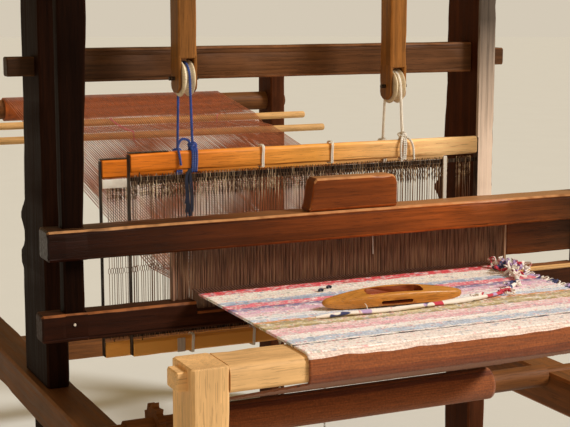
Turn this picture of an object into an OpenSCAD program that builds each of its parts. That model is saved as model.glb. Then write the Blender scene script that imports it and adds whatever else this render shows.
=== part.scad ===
// Two-shaft counterbalance hand loom for rag rugs, with a hanging beater.
// Frame: +X to the weaver's right, +Y to the back of the loom, +Z up, millimetres, real size.
// Origin: middle of the footprint, on the floor.

/* [Frame] */
// Half of the distance between the middles of the two main uprights
post_x = 516; // [480:1:560]
// Width of an upright, seen from the front
post_w = 48; // [40:1:60]
// Depth of an upright above its carved shoulder
post_d = 140; // [120:1:150]
// Depth of an upright below its carved shoulder
post_low_d = 183; // [160:1:200]
// Height of the carved shoulder
shoulder_z = 870; // [840:1:890]
// Top face of the side beams
beam_top = 500; // [480:1:520]
// Top of the uprights
post_top = 1720; // [1700:1:1760]
// Top face of the breast beam
breast_z = 747; // [735:1:755]
// How far back from the uprights' front face the rear posts stand
rear_y = 1170; // [1100:5:1300]

/* [Beater] */
// Half length of the top rail
rail_half = 622; // [610:1:630]
// Half length of the lower rail
race_half = 632; // [620:1:640]
// Half length of the reed
reed_half = 375; // [360:1:380]
// How far the shuttle race lies below the raised ends of the lower rail
race_drop = 20; // [12:1:24]

/* [Harness] */
// Half length of a shaft
shaft_half = 403; // [390:1:410]
// Distance from the top of a shaft to its bottom
shaft_h = 411; // [400:1:420]
// Distance between the two shafts, front to back
shaft_gap = 88; // [84:1:96]
// How far the back shaft hangs below the front one
shaft_step = 21; // [0:1:30]
// Radius of a pulley wheel
wheel_r = 37; // [34:1:40]
// Radius of a harness cord
cord_r = 2.6; // [2:0.1:3]

/* [Cloth and warp] */
// Half width of the rug and the warp
cloth_half = 332; // [300:1:336]
// Thickness of the rug
rug_t = 4.5; // [3:0.1:5]
// Number of warp bands
warp_n = 64; // [40:2:64]
// Width of one warp band
band_w = 5.6; // [4:0.1:6]

/* [Hidden] */
$fn = 24;
// Running clearance on radius of a turning pin
run = 0.05;
// Seating clearance on each side of a joint
seat = 0.3;
// The beams' through tenons pass the front posts' and the rear posts' faces, and so are the
// ends of the footprint; the uprights' front face lies front_y from its middle
front_tip = -850;
rear_tip = rear_y + 140;
front_y = -(front_tip + rear_tip) / 2;
beater_y = -304;
// Thickness of a top arm, and its top face, which lies a little below the uprights' tops
arm_h = 70;
arm_z = post_top - 30;
// Height of the pegs that pin the arms to the uprights
arm_peg_z = arm_z - arm_h / 2;
// The rocker's round necks lie in notches in the arms
neck_r = 12;
pivot_z = arm_z + neck_r;
// Thickness of the harness bar and height of the pegs that carry the hangers on it
harness_h = 46;
hanger_peg_r = 6;
hanger_peg_z = arm_z + harness_h + hanger_peg_r;
shaft_y = -138;
shaft_top = 1000;
wheel_y = shaft_y + shaft_gap / 2;
roll_y = -310;
roll_z = 490;
warp_y = rear_y + 50;
warp_z = 980;
pitch = 2 * cloth_half / warp_n;
arm_w = 48;
arm_in = post_x - post_w / 2 - arm_w;
sword_x = 568;
// Foot and top of the beater's lower rail, foot of its top rail and of the groove for the reed
race_z = 683;
race_top = 736;
rail_z = 835;
rail_h = 57;
groove = 15;
reed_low = 700;
// How many open gaps the reed has beyond the warp on each side
spare_gaps = floor((reed_half - 6 - cloth_half) / pitch);
wood_dark = [0.24, 0.15, 0.10];
wood_mid = [0.42, 0.24, 0.13];
wood_honey = [0.78, 0.50, 0.24];
wood_pale = [0.82, 0.70, 0.50];
steel = [0.22, 0.21, 0.20];
cord_blue = [0.10, 0.16, 0.36];
cord_cream = [0.88, 0.82, 0.70];

// Bars with chamfered long edges, given by their end planes
module bar_x(x, y, z, c = 3) {
    translate([x[0], 0, 0]) rotate([90, 0, 90]) linear_extrude(x[1] - x[0]) chamfer(y, z, c);
}
module bar_y(x, y, z, c = 3) {
    translate([0, y[1], 0]) rotate([90, 0, 0]) linear_extrude(y[1] - y[0]) chamfer(x, z, c);
}
module bar_z(x, y, z, c = 3) {
    translate([0, 0, z[0]]) linear_extrude(z[1] - z[0]) chamfer(x, y, c);
}
module chamfer(a, b, c) {
    polygon([[a[0] + c, b[0]], [a[1] - c, b[0]], [a[1], b[0] + c], [a[1], b[1] - c],
             [a[1] - c, b[1]], [a[0] + c, b[1]], [a[0], b[1] - c], [a[0], b[0] + c]]);
}
// Plain block, given by its end planes
module block(x, y, z) {
    translate([x[0], y[0], z[0]]) cube([x[1] - x[0], y[1] - y[0], z[1] - z[0]]);
}
// Round bar along X
module rod_x(x, y, z, r) {
    translate([x[0], y, z]) rotate([0, 90, 0]) cylinder(h = x[1] - x[0], r = r);
}
module both() {
    children();
    mirror([1, 0, 0]) children();
}

module side_beam(pin_hole = false) {
    difference() {
        union() {
            bar_y([476, 556], [-720, rear_y], [beam_top - 80, beam_top], 4);
            bar_y([496, 512], [front_tip, -719], [beam_top - 62, beam_top - 20], 2);
            bar_y([505, 527], [rear_y - 1, rear_tip], [beam_top - 62, beam_top - 20], 2);
        }
        block([post_x - 12, post_x + 12], [30, 100], [beam_top - 40, beam_top + 1]);
        block([498 - seat, 510 + seat], [front_tip + 4 - seat, front_tip + 20 + seat],
              [beam_top - 90, beam_top]);
        block([510 - seat, 522 + seat], [rear_tip - 28 - seat, rear_tip - 12 + seat],
              [beam_top - 90, beam_top]);
        rod_x([470, 560], roll_y, roll_z, 18 + seat);
        block([470, 560], [roll_y - 18 - seat, roll_y + 18 + seat], [roll_z, beam_top + 1]);
        if (pin_hole) rod_x([470, 500], -395, 455, 5);
    }
}
module right_side_beam() { color(wood_mid) side_beam(); }
module left_side_beam() { color(wood_mid) mirror([1, 0, 0]) side_beam(true); }

module upright() {
    difference() {
        union() {
            translate([post_x - post_w / 2, 0, 0]) rotate([90, 0, 90]) linear_extrude(post_w)
                polygon([[0, beam_top], [post_low_d, beam_top], [post_low_d, shoulder_z - 146],
                         [post_low_d + 12, shoulder_z - 134], [post_low_d + 15, shoulder_z - 122],
                         [post_low_d + 12, shoulder_z - 108], [post_low_d - 8, shoulder_z - 94],
                         [post_low_d - 20, shoulder_z - 82], [post_low_d - 20, shoulder_z - 60],
                         [post_low_d - 6, shoulder_z - 46], [post_low_d + 6, shoulder_z - 36],
                         [post_low_d + 6, shoulder_z - 24], [post_low_d - 10, shoulder_z - 8],
                         [post_d + 16, shoulder_z + 8], [post_d + 12, shoulder_z + 40],
                         [post_d, shoulder_z + 220], [post_d, post_top], [0, post_top]]);
            block([post_x - 11.7, post_x + 11.7], [30.3, 99.7], [beam_top - 39.7, beam_top + 1]);
        }
        block([post_x - 30, post_x + 30], [35 - seat, 70 + seat], [1144 - seat, 1184 + seat]);
        for (y = [35, 95]) rod_x([post_x - 30, post_x + 30], y, arm_peg_z, 8);
    }
}
module right_upright() { color(wood_dark) upright(); }
module left_upright() { color(wood_dark) mirror([1, 0, 0]) upright(); }

module front_posts() {
    color(wood_mid) both() difference() {
        bar_z([465, 528], [-812, -720], [0, breast_z], 3);
        block([496 - seat, 512 + seat], [-850, -700], [beam_top - 62 - seat, beam_top - 20 + seat]);
        block([460, 535], [-790 - seat, -745 + seat], [708 - seat, 740 + seat]);
        block([460, 480], [-785 - seat, -760 + seat], [70 - seat, 120 + seat]);
    }
}
module rear_posts() {
    color(wood_dark) difference() {
        rear_pair();
        rod_x([-510, -480], rear_y + 20, 880, 5);
    }
}
module rear_pair() {
    color(wood_dark) both() difference() {
        bar_z([post_x - 24, post_x + 24], [rear_y, rear_y + 100], [0, 1105], 3);
        block([505 - seat, 527 + seat], [rear_y - 70, rear_y + 130],
              [beam_top - 62 - seat, beam_top - 20 + seat]);
        rod_x([480, 560], warp_y, warp_z, 20 + run);
        block([480, 510], [rear_y + 35 - seat, rear_y + 65 + seat], [230 - seat, 290 + seat]);
    }
}
module middle_legs() {
    color(wood_dark) both() bar_z([post_x - 24, post_x + 24], [10, 120], [0, beam_top - 80], 3);
}

module cross_rail() {
    color(wood_mid) difference() {
        union() {
            bar_x([-post_x + 24, post_x - 24], [28, 75], [1130, 1199], 2);
            bar_x([-post_x - 79, post_x + 68], [35, 70], [1144, 1184], 1.5);
        }
        for (z = [1137, 1184, 1192])
            translate([-post_x + 20, 28, z]) rotate([45, 0, 0]) cube([2 * post_x - 40, 2, 2]);
    }
}
module top_arms() {
    color(wood_dark) both() difference() {
        bar_y([arm_in, arm_in + arm_w], [-370, 190], [arm_z - arm_h, arm_z], 4);
        rod_x([arm_in - 4, arm_in + arm_w + 4], beater_y, pivot_z, neck_r + seat);
        block([arm_in - 4, arm_in + arm_w + 4], [beater_y - neck_r - seat, beater_y + neck_r + seat],
              [pivot_z - 0.1, arm_z + 20]);
        for (y = [35, 95]) rod_x([arm_in - 4, arm_in + arm_w + 4], y, arm_peg_z, 8);
        block([arm_in - 4, arm_in + 16], [148 - seat, 172 + seat], [arm_z - 55 - seat, arm_z - 15 + seat]);
    }
}
module head_rail() {
    color(wood_dark) union() {
        bar_x([-arm_in, arm_in], [135, 185], [arm_z - 65, arm_z - 5], 3);
        block([-arm_in - 15, arm_in + 15], [148, 172], [arm_z - 55, arm_z - 15]);
    }
}
module frame_pegs() {
    color(wood_honey) both() {
        for (y = [35, 95]) rod_x([arm_in - 8, post_x + 34], y, arm_peg_z, 8);
        translate([0, front_tip + 12, 0]) bar_z([498, 510], [-8, 8], [400, 520], 1);
        translate([0, rear_tip - 20, 0]) bar_z([510, 522], [-8, 8], [400, 520], 1);
    }
}
module stretchers() {
    color(wood_mid) union() {
        bar_x([-465, 465], [-795, -747], [60, 130], 3);
        block([-479, 479], [-785, -760], [70, 120]);
        bar_x([-post_x + 24, post_x - 24], [rear_y + 25, rear_y + 75], [220, 300], 3);
        block([-509, 509], [rear_y + 35, rear_y + 65], [230, 290]);
    }
}
module breast_beam() {
    color(wood_pale) union() {
        translate([-465, 0, 0]) rotate([90, 0, 90]) linear_extrude(930)
            polygon(concat([[-722, breast_z], [-722, 702], [-800, 702]],
                [for (a = [0 : 15 : 90]) [-802 - 10 * sin(a), 712 - 10 * cos(a)]],
                [for (a = [0 : 15 : 90]) [-798 - 14 * cos(a), breast_z - 14 + 14 * sin(a)]]));
        block([-545, 545], [-790, -745], [708, 740]);
    }
}

module harness_bar() {
    color(wood_dark) difference() {
        bar_x([-520, 520], [wheel_y - 40, wheel_y + 40], [arm_z, arm_z + harness_h], 4);
        for (x = [-267, 215])
            block([x - 20 - seat, x + 20 + seat], [wheel_y - 24.5 - seat, wheel_y + 24.5 + seat],
                  [arm_z - 1, arm_z + 60]);
    }
}
// Slotted hanger with a rounded foot; wz is the height of its wheel's axle
module hanger(wz) {
    difference() {
        union() {
            bar_z([-20, 20], [-24.5, 24.5], [wz, hanger_peg_z + 38], 2);
            intersection() {
                bar_z([-20, 20], [-24.5, 24.5], [wz - 30, wz + 1], 2);
                rod_x([-20, 20], 0, wz, 30);
            }
        }
        block([-13.5, 13.5], [-40, 40], [wz - 60, wz + 40]);
        rod_x([-30, 30], 0, wz, 4);
        rod_x([-30, 30], 0, hanger_peg_z, hanger_peg_r);
    }
}
left_wz = 1141;
right_wz = 1112;
module left_hanger() { color(wood_mid) translate([-267, wheel_y, 0]) hanger(left_wz); }
module right_hanger() { color(wood_mid) translate([215, wheel_y, 0]) hanger(right_wz); }
module hanger_pegs() {
    color(wood_honey) for (x = [-267, 215]) rod_x([x - 38, x + 38], wheel_y, hanger_peg_z, hanger_peg_r);
}
module pulley_pins() {
    color(steel) {
        rod_x([-299, -237], wheel_y, left_wz, 4);
        rod_x([185, 247], wheel_y, right_wz, 4);
    }
}
module wheel() {
    rotate([90, 0, 90]) rotate_extrude($fn = 48)
        polygon([[4 + run, -12.3], [wheel_r, -12.3], [wheel_r, -8], [wheel_r - 7, -3.2], [wheel_r - 7, 3.2],
                 [wheel_r, 8], [wheel_r, 12.3], [4 + run, 12.3]]);
}
module left_wheel() { color(wood_pale) translate([-267, wheel_y, left_wz]) wheel(); }
module right_wheel() { color(wood_pale) translate([215, wheel_y, right_wz]) wheel(); }

// Harness cords: over the wheel, then down to the two shafts
cord_at = wheel_r - 7 + seat + cord_r;
module cord_over() {
    rotate([90, 0, 90]) rotate_extrude(angle = 180, $fn = 36)
        translate([cord_at, 0]) circle(r = cord_r, $fn = 14);
}
module cord_drop(y_end, wz, end_z) {
    // Leans from the wheel's rim to the shaft below it
    y_top = sign(y_end) * cord_at;
    run_h = wz - end_z;
    lean = atan((y_end - y_top) / run_h);
    intersection() {
        translate([0, y_top, wz]) rotate([lean, 0, 0]) translate([0, 0, -run_h - 8])
            cylinder(h = run_h + 16, r = cord_r, $fn = 14);
        block([-10, 10], [-80, 80], [end_z, wz]);
    }
}
back_top = shaft_top - shaft_step;
module left_cord_over() { color(cord_blue) translate([-267, wheel_y, left_wz]) cord_over(); }
module right_cord_over() { color(cord_cream) translate([215, wheel_y, right_wz]) cord_over(); }
module left_cord_front() {
    color(cord_blue) translate([-267, wheel_y, 0]) cord_drop(-shaft_gap / 2, left_wz, shaft_top);
}
module left_cord_back() {
    color(cord_blue) translate([-267, wheel_y, 0]) cord_drop(shaft_gap / 2, left_wz, back_top);
}
module right_cord_front() {
    color(cord_cream) translate([215, wheel_y, 0]) cord_drop(-shaft_gap / 2, right_wz, shaft_top);
}
module right_cord_back() {
    color(cord_cream) translate([215, wheel_y, 0]) cord_drop(shaft_gap / 2, right_wz, back_top);
}

// Shafts, drawn for the front one; the back one hangs lower and a little to the left
rod_top = shaft_top - 52;
rod_low = shaft_top - shaft_h + 44;
module shaft_bars() {
    long = shaft_half - 2.2;
    bar_x([-long, long], [-9, 9], [shaft_top - 39, shaft_top], 2.5);
    bar_x([-long, long], [-9, 9], [shaft_top - shaft_h, shaft_top - shaft_h + 32], 2.5);
}
module shaft_irons() {
    both() bar_z([shaft_half - 2.2, shaft_half], [-8, 8], [shaft_top - shaft_h + 3, shaft_top - 3], 0.5);
    for (x = [-shaft_half + 24, -11.5 * pitch, 4.5 * pitch, shaft_half - 24]) {
        block([x - 1.5, x + 1.5], [-2.5, 2.5], [rod_top - 7, shaft_top - 39]);
        block([x - 1.5, x + 1.5], [-2.5, 2.5], [shaft_top - shaft_h + 32, rod_low + 7]);
    }
    for (z = [rod_top, rod_low]) block([-shaft_half + 1, shaft_half - 1], [-1, 1], [z - 4, z + 4]);
}
module heddles() {
    for (i = [0 : warp_n])
        translate([-cloth_half + i * pitch - 0.4, 0, 0]) rotate([90, 0, 90]) linear_extrude(0.8)
            difference() {
                polygon([[-3, rod_low - 8], [3, rod_low - 8], [3, rod_top + 8], [-3, rod_top + 8]]);
                for (z = [rod_low, rod_top]) translate([-1.3, z - 4.4]) square([2.6, 8.8]);
            }
}
back_shift = 3 * pitch;
module at_back() {
    translate([-back_shift, shaft_y + shaft_gap, -shaft_step]) children();
}
module front_shaft_bars() { color(wood_honey) translate([0, shaft_y, 0]) shaft_bars(); }
module front_shaft_irons() { color(steel) translate([0, shaft_y, 0]) shaft_irons(); }
module front_heddles() { color(steel) translate([0, shaft_y, 0]) heddles(); }
module back_shaft_bars() { color(wood_honey) at_back() shaft_bars(); }
module back_shaft_irons() { color(steel) at_back() shaft_irons(); }
module back_heddles() { color(steel) translate([back_shift, 0, 0]) at_back() heddles(); }

// Warp, rug and lease sticks
stick_y = [800, 930];
stick_r = 10;
eye_z = 760;
roll_r = 34;
// The warp leaves the top of its roll along a tangent
warp_off = roll_r + seat + 0.4;
warp_lean = atan2(warp_z - eye_z, warp_y - wheel_y)
    + asin(warp_off / norm([warp_y - wheel_y, warp_z - eye_z]));
function warp_line(y) = y < wheel_y ? 750.5 + (y + 335) * (eye_z - 750.5) / (wheel_y + 335)
    : eye_z + (y - wheel_y) * tan(warp_lean);
module band(side) {
    path = concat([[-335, warp_line(-335)], [wheel_y, eye_z]],
        [for (k = [0, 1]) for (d = [-14, 14]) let (s = k == 0 ? side : -side)
            [stick_y[k] + d * 0.8, warp_line(stick_y[k]) + s * (stick_r + 0.9) + d * 0.16]],
        [[warp_y - warp_off * sin(warp_lean), warp_z + warp_off * cos(warp_lean)]]);
    polygon(concat([for (p = path) [p[0], p[1] - 0.4]],
                   [for (i = [len(path) - 1 : -1 : 0]) path[i] + [0, 0.4]]));
}
module warp_threads() {
    color([0.72, 0.42, 0.18]) for (i = [0 : warp_n - 1])
        translate([-cloth_half + (i + 0.5) * pitch - band_w / 2, 0, 0]) rotate([90, 0, 90])
            linear_extrude(band_w) band(i % 2 == 0 ? 1 : -1);
}
module lease_sticks() {
    color(wood_honey) for (y = stick_y) rod_x([-490, 490], y, warp_line(y), stick_r);
}
// The rug runs over the breast beam's rounded edges, then back and down onto its roll
edge_y = -802;
edge_z = 712;
edge_r = 10;
edge_to_roll = norm([roll_y - edge_y, edge_z - roll_z]);
run_lean = atan2(edge_z - roll_z, roll_y - edge_y)
    - asin((edge_r + 2 * seat + rug_t + roll_r + 0.1) / edge_to_roll);
module rug() {
    top = breast_z + seat;
    n = [sin(run_lean), cos(run_lean)];
    last = 90 - run_lean;
    in_r = edge_r + seat;
    color([0.86, 0.74, 0.72]) translate([-cloth_half, 0, 0]) rotate([90, 0, 90])
        linear_extrude(2 * cloth_half)
        polygon(concat(
            [[-335, top], [-335, top + rug_t]],
            [for (k = [0 : 6]) let (a = k * 15, r = 14 + seat + rug_t)
                [-798 - r * sin(a), breast_z - 14 + r * cos(a)]],
            [for (k = [0 : 5]) let (a = k * last / 5, r = in_r + rug_t)
                [edge_y - r * cos(a), edge_z - r * sin(a)]],
            [for (r = [roll_r + seat + 0.1, roll_r + seat + 0.1 + rug_t]) [roll_y, roll_z] + r * n],
            [for (k = [5 : -1 : 0]) let (a = k * last / 5) [edge_y - in_r * cos(a), edge_z - in_r * sin(a)]],
            [for (k = [6 : -1 : 0]) let (a = k * 15, r = 14 + seat)
                [-798 - r * sin(a), breast_z - 14 + r * cos(a)]]));
}
cloth_top = breast_z + seat + rug_t;
module strip_piece(a, b, r) {
    // Round strip of rag lying on the rug, sunk flush with its top face
    d = b - a;
    translate([a[0], a[1], cloth_top + r]) rotate([0, 90, atan2(d[1], d[0])])
        cylinder(h = norm(d), r = r, $fn = 14);
}
module weft_strip() {
    color([0.80, 0.52, 0.56]) {
        pts = [[302, -372], [300, -430], [266, -506], [188, -576], [112, -605], [20, -613], [-70, -619],
               [-160, -613], [-225, -617]];
        for (i = [0 : len(pts) - 2]) strip_piece(pts[i], pts[i + 1], 5);
        for (i = [1 : len(pts) - 2])
            translate([pts[i][0], pts[i][1], cloth_top]) cylinder(h = 10, r = 5, $fn = 14);
    }
}
module weft_sticks() {
    color(wood_pale) for (y = [-409, -425]) rod_x([306, 470], y, cloth_top + 3 + seat, 3);
}

// Boat shuttle, lying on its round bottom on the rug and tipped a little towards the weaver
shuttle_len = 275;
hull_r = 30;
module shuttle_place() {
    translate([-46, -572, cloth_top + 0.2 + hull_r]) rotate([13, 0, -4.5]) translate([0, 0, -hull_r])
        children();
}
function hull_side(t) = 16.4 * pow(1 - pow(abs(t), 2.3), 0.7) + 5.6;
module shuttle() {
    h = shuttle_len / 2;
    steps = [for (i = [0 : 12]) -1 + i / 6];
    color(wood_honey) shuttle_place() difference() {
        intersection() {
            linear_extrude(32) polygon(concat(
                [for (t = steps) [h * t, hull_side(t)]], [for (t = steps) [-h * t, -hull_side(t)]]));
            translate([0, 40, 0]) rotate([90, 0, 0]) linear_extrude(80) polygon(concat(
                [for (t = steps) [h * t, 30 - 11 * pow(abs(t), 2.6)]],
                [for (t = steps) [-h * t, 8 * pow(abs(t), 3)]]));
            translate([-h - 1, 0, 0]) rotate([90, 0, 90]) linear_extrude(2 * h + 2) polygon(concat(
                [for (a = [-45 : 7.5 : 45]) [hull_r * sin(a), hull_r * (1 - cos(a))]],
                [[22.5, 33], [-22.5, 33]]));
        }
        translate([-54, 0, 0]) rotate([90, 0, 90]) linear_extrude(108)
            polygon([[-12, 6], [12, 6], [14, 40], [-14, 40]]);
        block([-30, 30], [-40, 0], [10, 18]);
        rod_x([-70, 70], 0, 15, 1.5);
    }
}
module bobbin() {
    color([0.90, 0.88, 0.80]) shuttle_place() {
        rod_x([-69, 69], 0, 15, 1.4);
        rod_x([-48, 48], 0, 15, 7.5);
    }
}

// Beater
module beater_rocker() {
    color(wood_dark) translate([0, beater_y, pivot_z]) {
        bar_x([-arm_in + 8, arm_in - 8], [-20, 20], [-18, 34], 3);
        rod_x([-sword_x + 20, sword_x - 20], 0, 0, neck_r);
        both() bar_x([arm_in + arm_w + 10, sword_x + 44], [-14, 14], [-14, 14], 1.5);
    }
}
module beater_swords() {
    color(wood_mid) both() difference() {
        intersection() {
            bar_z([sword_x - 35, sword_x + 20], [beater_y - 16, beater_y + 16], [race_z, pivot_z + 40], 2);
            translate([0, beater_y + 20, 0]) rotate([90, 0, 0]) linear_extrude(40)
                polygon([[sword_x - 20, race_z - 1], [sword_x + 21, race_z - 1],
                         [sword_x + 21, pivot_z + 41], [sword_x - 35, pivot_z + 41],
                         [sword_x - 35, pivot_z - 422], [sword_x - 20, rail_z + rail_h + 6]]);
        }
        translate([0, beater_y, pivot_z])
            block([sword_x - 40, sword_x + 32], [-14 - seat, 14 + seat], [-14 - seat, 14 + seat]);
    }
}
module beater_top_rail() {
    color(wood_mid) difference() {
        bar_x([-rail_half, rail_half], [-346, -283], [rail_z, rail_z + rail_h], 2.5);
        for (s = [-1, 1])
            block([s * sword_x - 20 - seat, s * sword_x + 20 + seat], [-320 - seat, -280],
                  [rail_z - 5, rail_z + rail_h + 5]);
        block([-reed_half - 1, reed_half + 1], [-306 - seat, -292 + seat],
              [rail_z - 5, rail_z + groove + seat]);
        block([reed_half, sword_x - 19], [-306 - seat, -292 + seat], [rail_z - 5, rail_z + 8 + seat]);
        for (z = [rail_z + 6, rail_z + rail_h - 7])
            translate([-rail_half - 1, -346, z]) rotate([45, 0, 0]) cube([2 * rail_half + 2, 2, 2]);
    }
}
module beater_grip() {
    color(wood_mid) translate([0, -303, 0]) rotate([90, 0, 0]) linear_extrude(40)
        translate([0, rail_z + rail_h + 0.2]) polygon(concat([[-104, 0], [88, 0]],
            [for (a = [0 : 15 : 90]) [76 + 12 * cos(a), 53 + 12 * sin(a)]],
            [[-90, 65], [-96, 60]]));
}
module beater_lower_rail() {
    color(wood_mid) difference() {
        bar_x([-race_half, race_half], [-331, -283], [race_z, race_top], 2.5);
        block([-319, 319], [-340, -280], [race_top - race_drop, race_top + 4]);
        for (s = [-1, 1])
            block([s * sword_x - 20 - seat, s * sword_x + 20 + seat], [-320 - seat, -280],
                  [race_z - 3, race_top + 4]);
        block([-reed_half - 1, reed_half + 1], [-306 - seat, -292 + seat], [reed_low - seat, race_top + 4]);
    }
}
module reed() {
    color(steel) translate([0, -306, 0]) {
        top = rail_z + groove;
        block([-reed_half, reed_half], [0, 14], [reed_low, reed_low + 12]);
        block([-reed_half, reed_half], [0, 14], [top - 12, top]);
        for (s = [-1, 1])
            block([s * (reed_half - 3) - 3, s * (reed_half - 3) + 3], [0, 14], [reed_low + 11, top - 11]);
        for (i = [-spare_gaps : warp_n + spare_gaps])
            translate([-cloth_half + i * pitch - 1, 3, reed_low + 11]) cube([2, 8, top - reed_low - 22]);
    }
}
module reed_filler() {
    color(wood_mid) block([reed_half + 0.5, sword_x - 21], [-306, -292], [race_top + 26, rail_z + 8]);
}

// Tie-up and treadles
tread_y = -720;
tread_z = 95;
tie_y = [shaft_y, shaft_y + shaft_gap];
tie_z = [190, 163];
function tread_a(k) = atan((tie_z[k] - tread_z) / (tie_y[k] - tread_y));
module treadle(k) {
    a = tread_a(k);
    reach = (tie_y[k] - tread_y) / cos(a);
    translate([0, tread_y, tread_z]) rotate([a, 0, 0]) difference() {
        union() {
            bar_y([-30, 30], [0, reach + 120], [-15, 15], 3);
            rod_x([-30, 30], 0, 0, 15);
        }
        rod_x([-40, 40], 0, 0, 7 + run);
        block([-6, 6], [reach - 15, reach + 15], [-20, 20]);
    }
}
module left_treadle() { color(wood_mid) translate([-75, 0, 0]) treadle(0); }
module right_treadle() { color(wood_mid) translate([75, 0, 0]) treadle(1); }
module treadle_lugs() {
    color(wood_mid) for (x = [-140, 0, 140]) difference() {
        bar_y([x - 18, x + 18], [-747, -700], [70, 120], 2);
        rod_x([x - 20, x + 20], tread_y, tread_z, 7);
    }
}
module treadle_rod() { color(wood_honey) rod_x([-165, 165], tread_y, tread_z, 7); }
module tie_cord(k, end_z) {
    low = tie_z[k] - 15 / cos(tread_a(k)) - 4;
    translate([0, tie_y[k], 0]) {
        translate([0, 0, low - 12]) cylinder(h = end_z - low + 12, r = 3, $fn = 14);
        translate([0, 0, low - 12]) cylinder(h = 12, r = 9, $fn = 18);
    }
}
module front_tie_cord() { color(cord_cream) translate([-75, 0, 0]) tie_cord(0, shaft_top - shaft_h); }
module back_tie_cord() { color(cord_cream) translate([75, 0, 0]) tie_cord(1, back_top - shaft_h); }

// Beams at both ends of the warp, each with a ratchet wheel on the left
module ratchet(r, teeth) {
    rotate([90, 0, 90]) linear_extrude(14) polygon([for (i = [0 : teeth - 1]) each
        [r * [cos(i * 360 / teeth), sin(i * 360 / teeth)],
         (r - 10) * [cos((i + 0.06) * 360 / teeth), sin((i + 0.06) * 360 / teeth)]]]);
}
module warp_beam() {
    color(wood_mid) translate([0, warp_y, warp_z]) {
        rod_x([-491.5, 491.5], 0, 0, 28);
        rod_x([-555, 555], 0, 0, 20);
        translate([-420, 0, 0]) ratchet(58, 12);
    }
}
module warp_roll() {
    color([0.70, 0.42, 0.20]) translate([0, warp_y, warp_z]) rotate([0, 90, 0]) difference() {
        translate([0, 0, -cloth_half]) cylinder(h = 2 * cloth_half, r = roll_r);
        translate([0, 0, -400]) cylinder(h = 800, r = 28);
    }
}
module cloth_beam() {
    color(wood_mid) translate([0, roll_y, roll_z]) {
        rod_x([-475.5, 475.5], 0, 0, 24);
        rod_x([-570, 570], 0, 0, 18);
        translate([-420, 0, 0]) ratchet(52, 12);
    }
}
module cloth_roll() {
    color([0.80, 0.66, 0.60]) translate([0, roll_y, roll_z]) rotate([0, 90, 0]) difference() {
        translate([0, 0, -cloth_half]) cylinder(h = 2 * cloth_half, r = roll_r);
        translate([0, 0, -400]) cylinder(h = 800, r = 24);
    }
}
module pawl(len) {
    // Hangs from its pin, thrown clear of the ratchet wheel
    rotate([90, 0, 90]) linear_extrude(10) difference() {
        polygon(concat([[4, -len]], [for (a = [-30 : 20 : 210]) [10 * cos(a), 10 * sin(a)]], [[-4, -len]]));
        circle(r = 5 + run);
    }
}
module warp_pawl() { color(steel) translate([-418, rear_y + 20, 880]) pawl(50); }
module cloth_pawl() { color(steel) translate([-418, -395, 455]) pawl(50); }
module pawl_pins() {
    color(steel) {
        rod_x([-505, -404], rear_y + 20, 880, 5);
        rod_x([-500, -404], -395, 455, 5);
    }
}

// Everything sits this far forward, so that the footprint's middle is at the origin
translate([0, front_y, 0]) left_side_beam();
translate([0, front_y, 0]) right_side_beam();
translate([0, front_y, 0]) left_upright();
translate([0, front_y, 0]) right_upright();
translate([0, front_y, 0]) front_posts();
translate([0, front_y, 0]) rear_posts();
translate([0, front_y, 0]) middle_legs();
translate([0, front_y, 0]) cross_rail();
translate([0, front_y, 0]) top_arms();
translate([0, front_y, 0]) head_rail();
translate([0, front_y, 0]) frame_pegs();
translate([0, front_y, 0]) stretchers();
translate([0, front_y, 0]) breast_beam();
translate([0, front_y, 0]) harness_bar();
translate([0, front_y, 0]) left_hanger();
translate([0, front_y, 0]) right_hanger();
translate([0, front_y, 0]) hanger_pegs();
translate([0, front_y, 0]) pulley_pins();
translate([0, front_y, 0]) lease_sticks();
translate([0, front_y, 0]) warp_threads();
translate([0, front_y, 0]) rug();
translate([0, front_y, 0]) weft_strip();
translate([0, front_y, 0]) weft_sticks();
translate([0, front_y, 0]) shuttle();
translate([0, front_y, 0]) bobbin();
translate([0, front_y, 0]) treadle_lugs();
translate([0, front_y, 0]) treadle_rod();
translate([0, front_y, 0]) pawl_pins();
translate([0, front_y, 0]) beater_rocker();
translate([0, front_y, 0]) beater_swords();
translate([0, front_y, 0]) beater_top_rail();
translate([0, front_y, 0]) beater_grip();
translate([0, front_y, 0]) beater_lower_rail();
translate([0, front_y, 0]) reed();
translate([0, front_y, 0]) reed_filler();
translate([0, front_y, 0]) front_shaft_bars();
translate([0, front_y, 0]) front_shaft_irons();
translate([0, front_y, 0]) front_heddles();
translate([0, front_y, 0]) back_shaft_bars();
translate([0, front_y, 0]) back_shaft_irons();
translate([0, front_y, 0]) back_heddles();
translate([0, front_y, 0]) left_wheel();
translate([0, front_y, 0]) right_wheel();
translate([0, front_y, 0]) left_cord_over();
translate([0, front_y, 0]) right_cord_over();
translate([0, front_y, 0]) left_cord_front();
translate([0, front_y, 0]) left_cord_back();
translate([0, front_y, 0]) right_cord_front();
translate([0, front_y, 0]) right_cord_back();
translate([0, front_y, 0]) front_tie_cord();
translate([0, front_y, 0]) back_tie_cord();
translate([0, front_y, 0]) left_treadle();
translate([0, front_y, 0]) right_treadle();
translate([0, front_y, 0]) warp_beam();
translate([0, front_y, 0]) warp_roll();
translate([0, front_y, 0]) cloth_beam();
translate([0, front_y, 0]) cloth_roll();
translate([0, front_y, 0]) warp_pawl();
translate([0, front_y, 0]) cloth_pawl();
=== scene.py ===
import math
import random

import bmesh
import bpy
from mathutils import Matrix, Vector, noise


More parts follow.
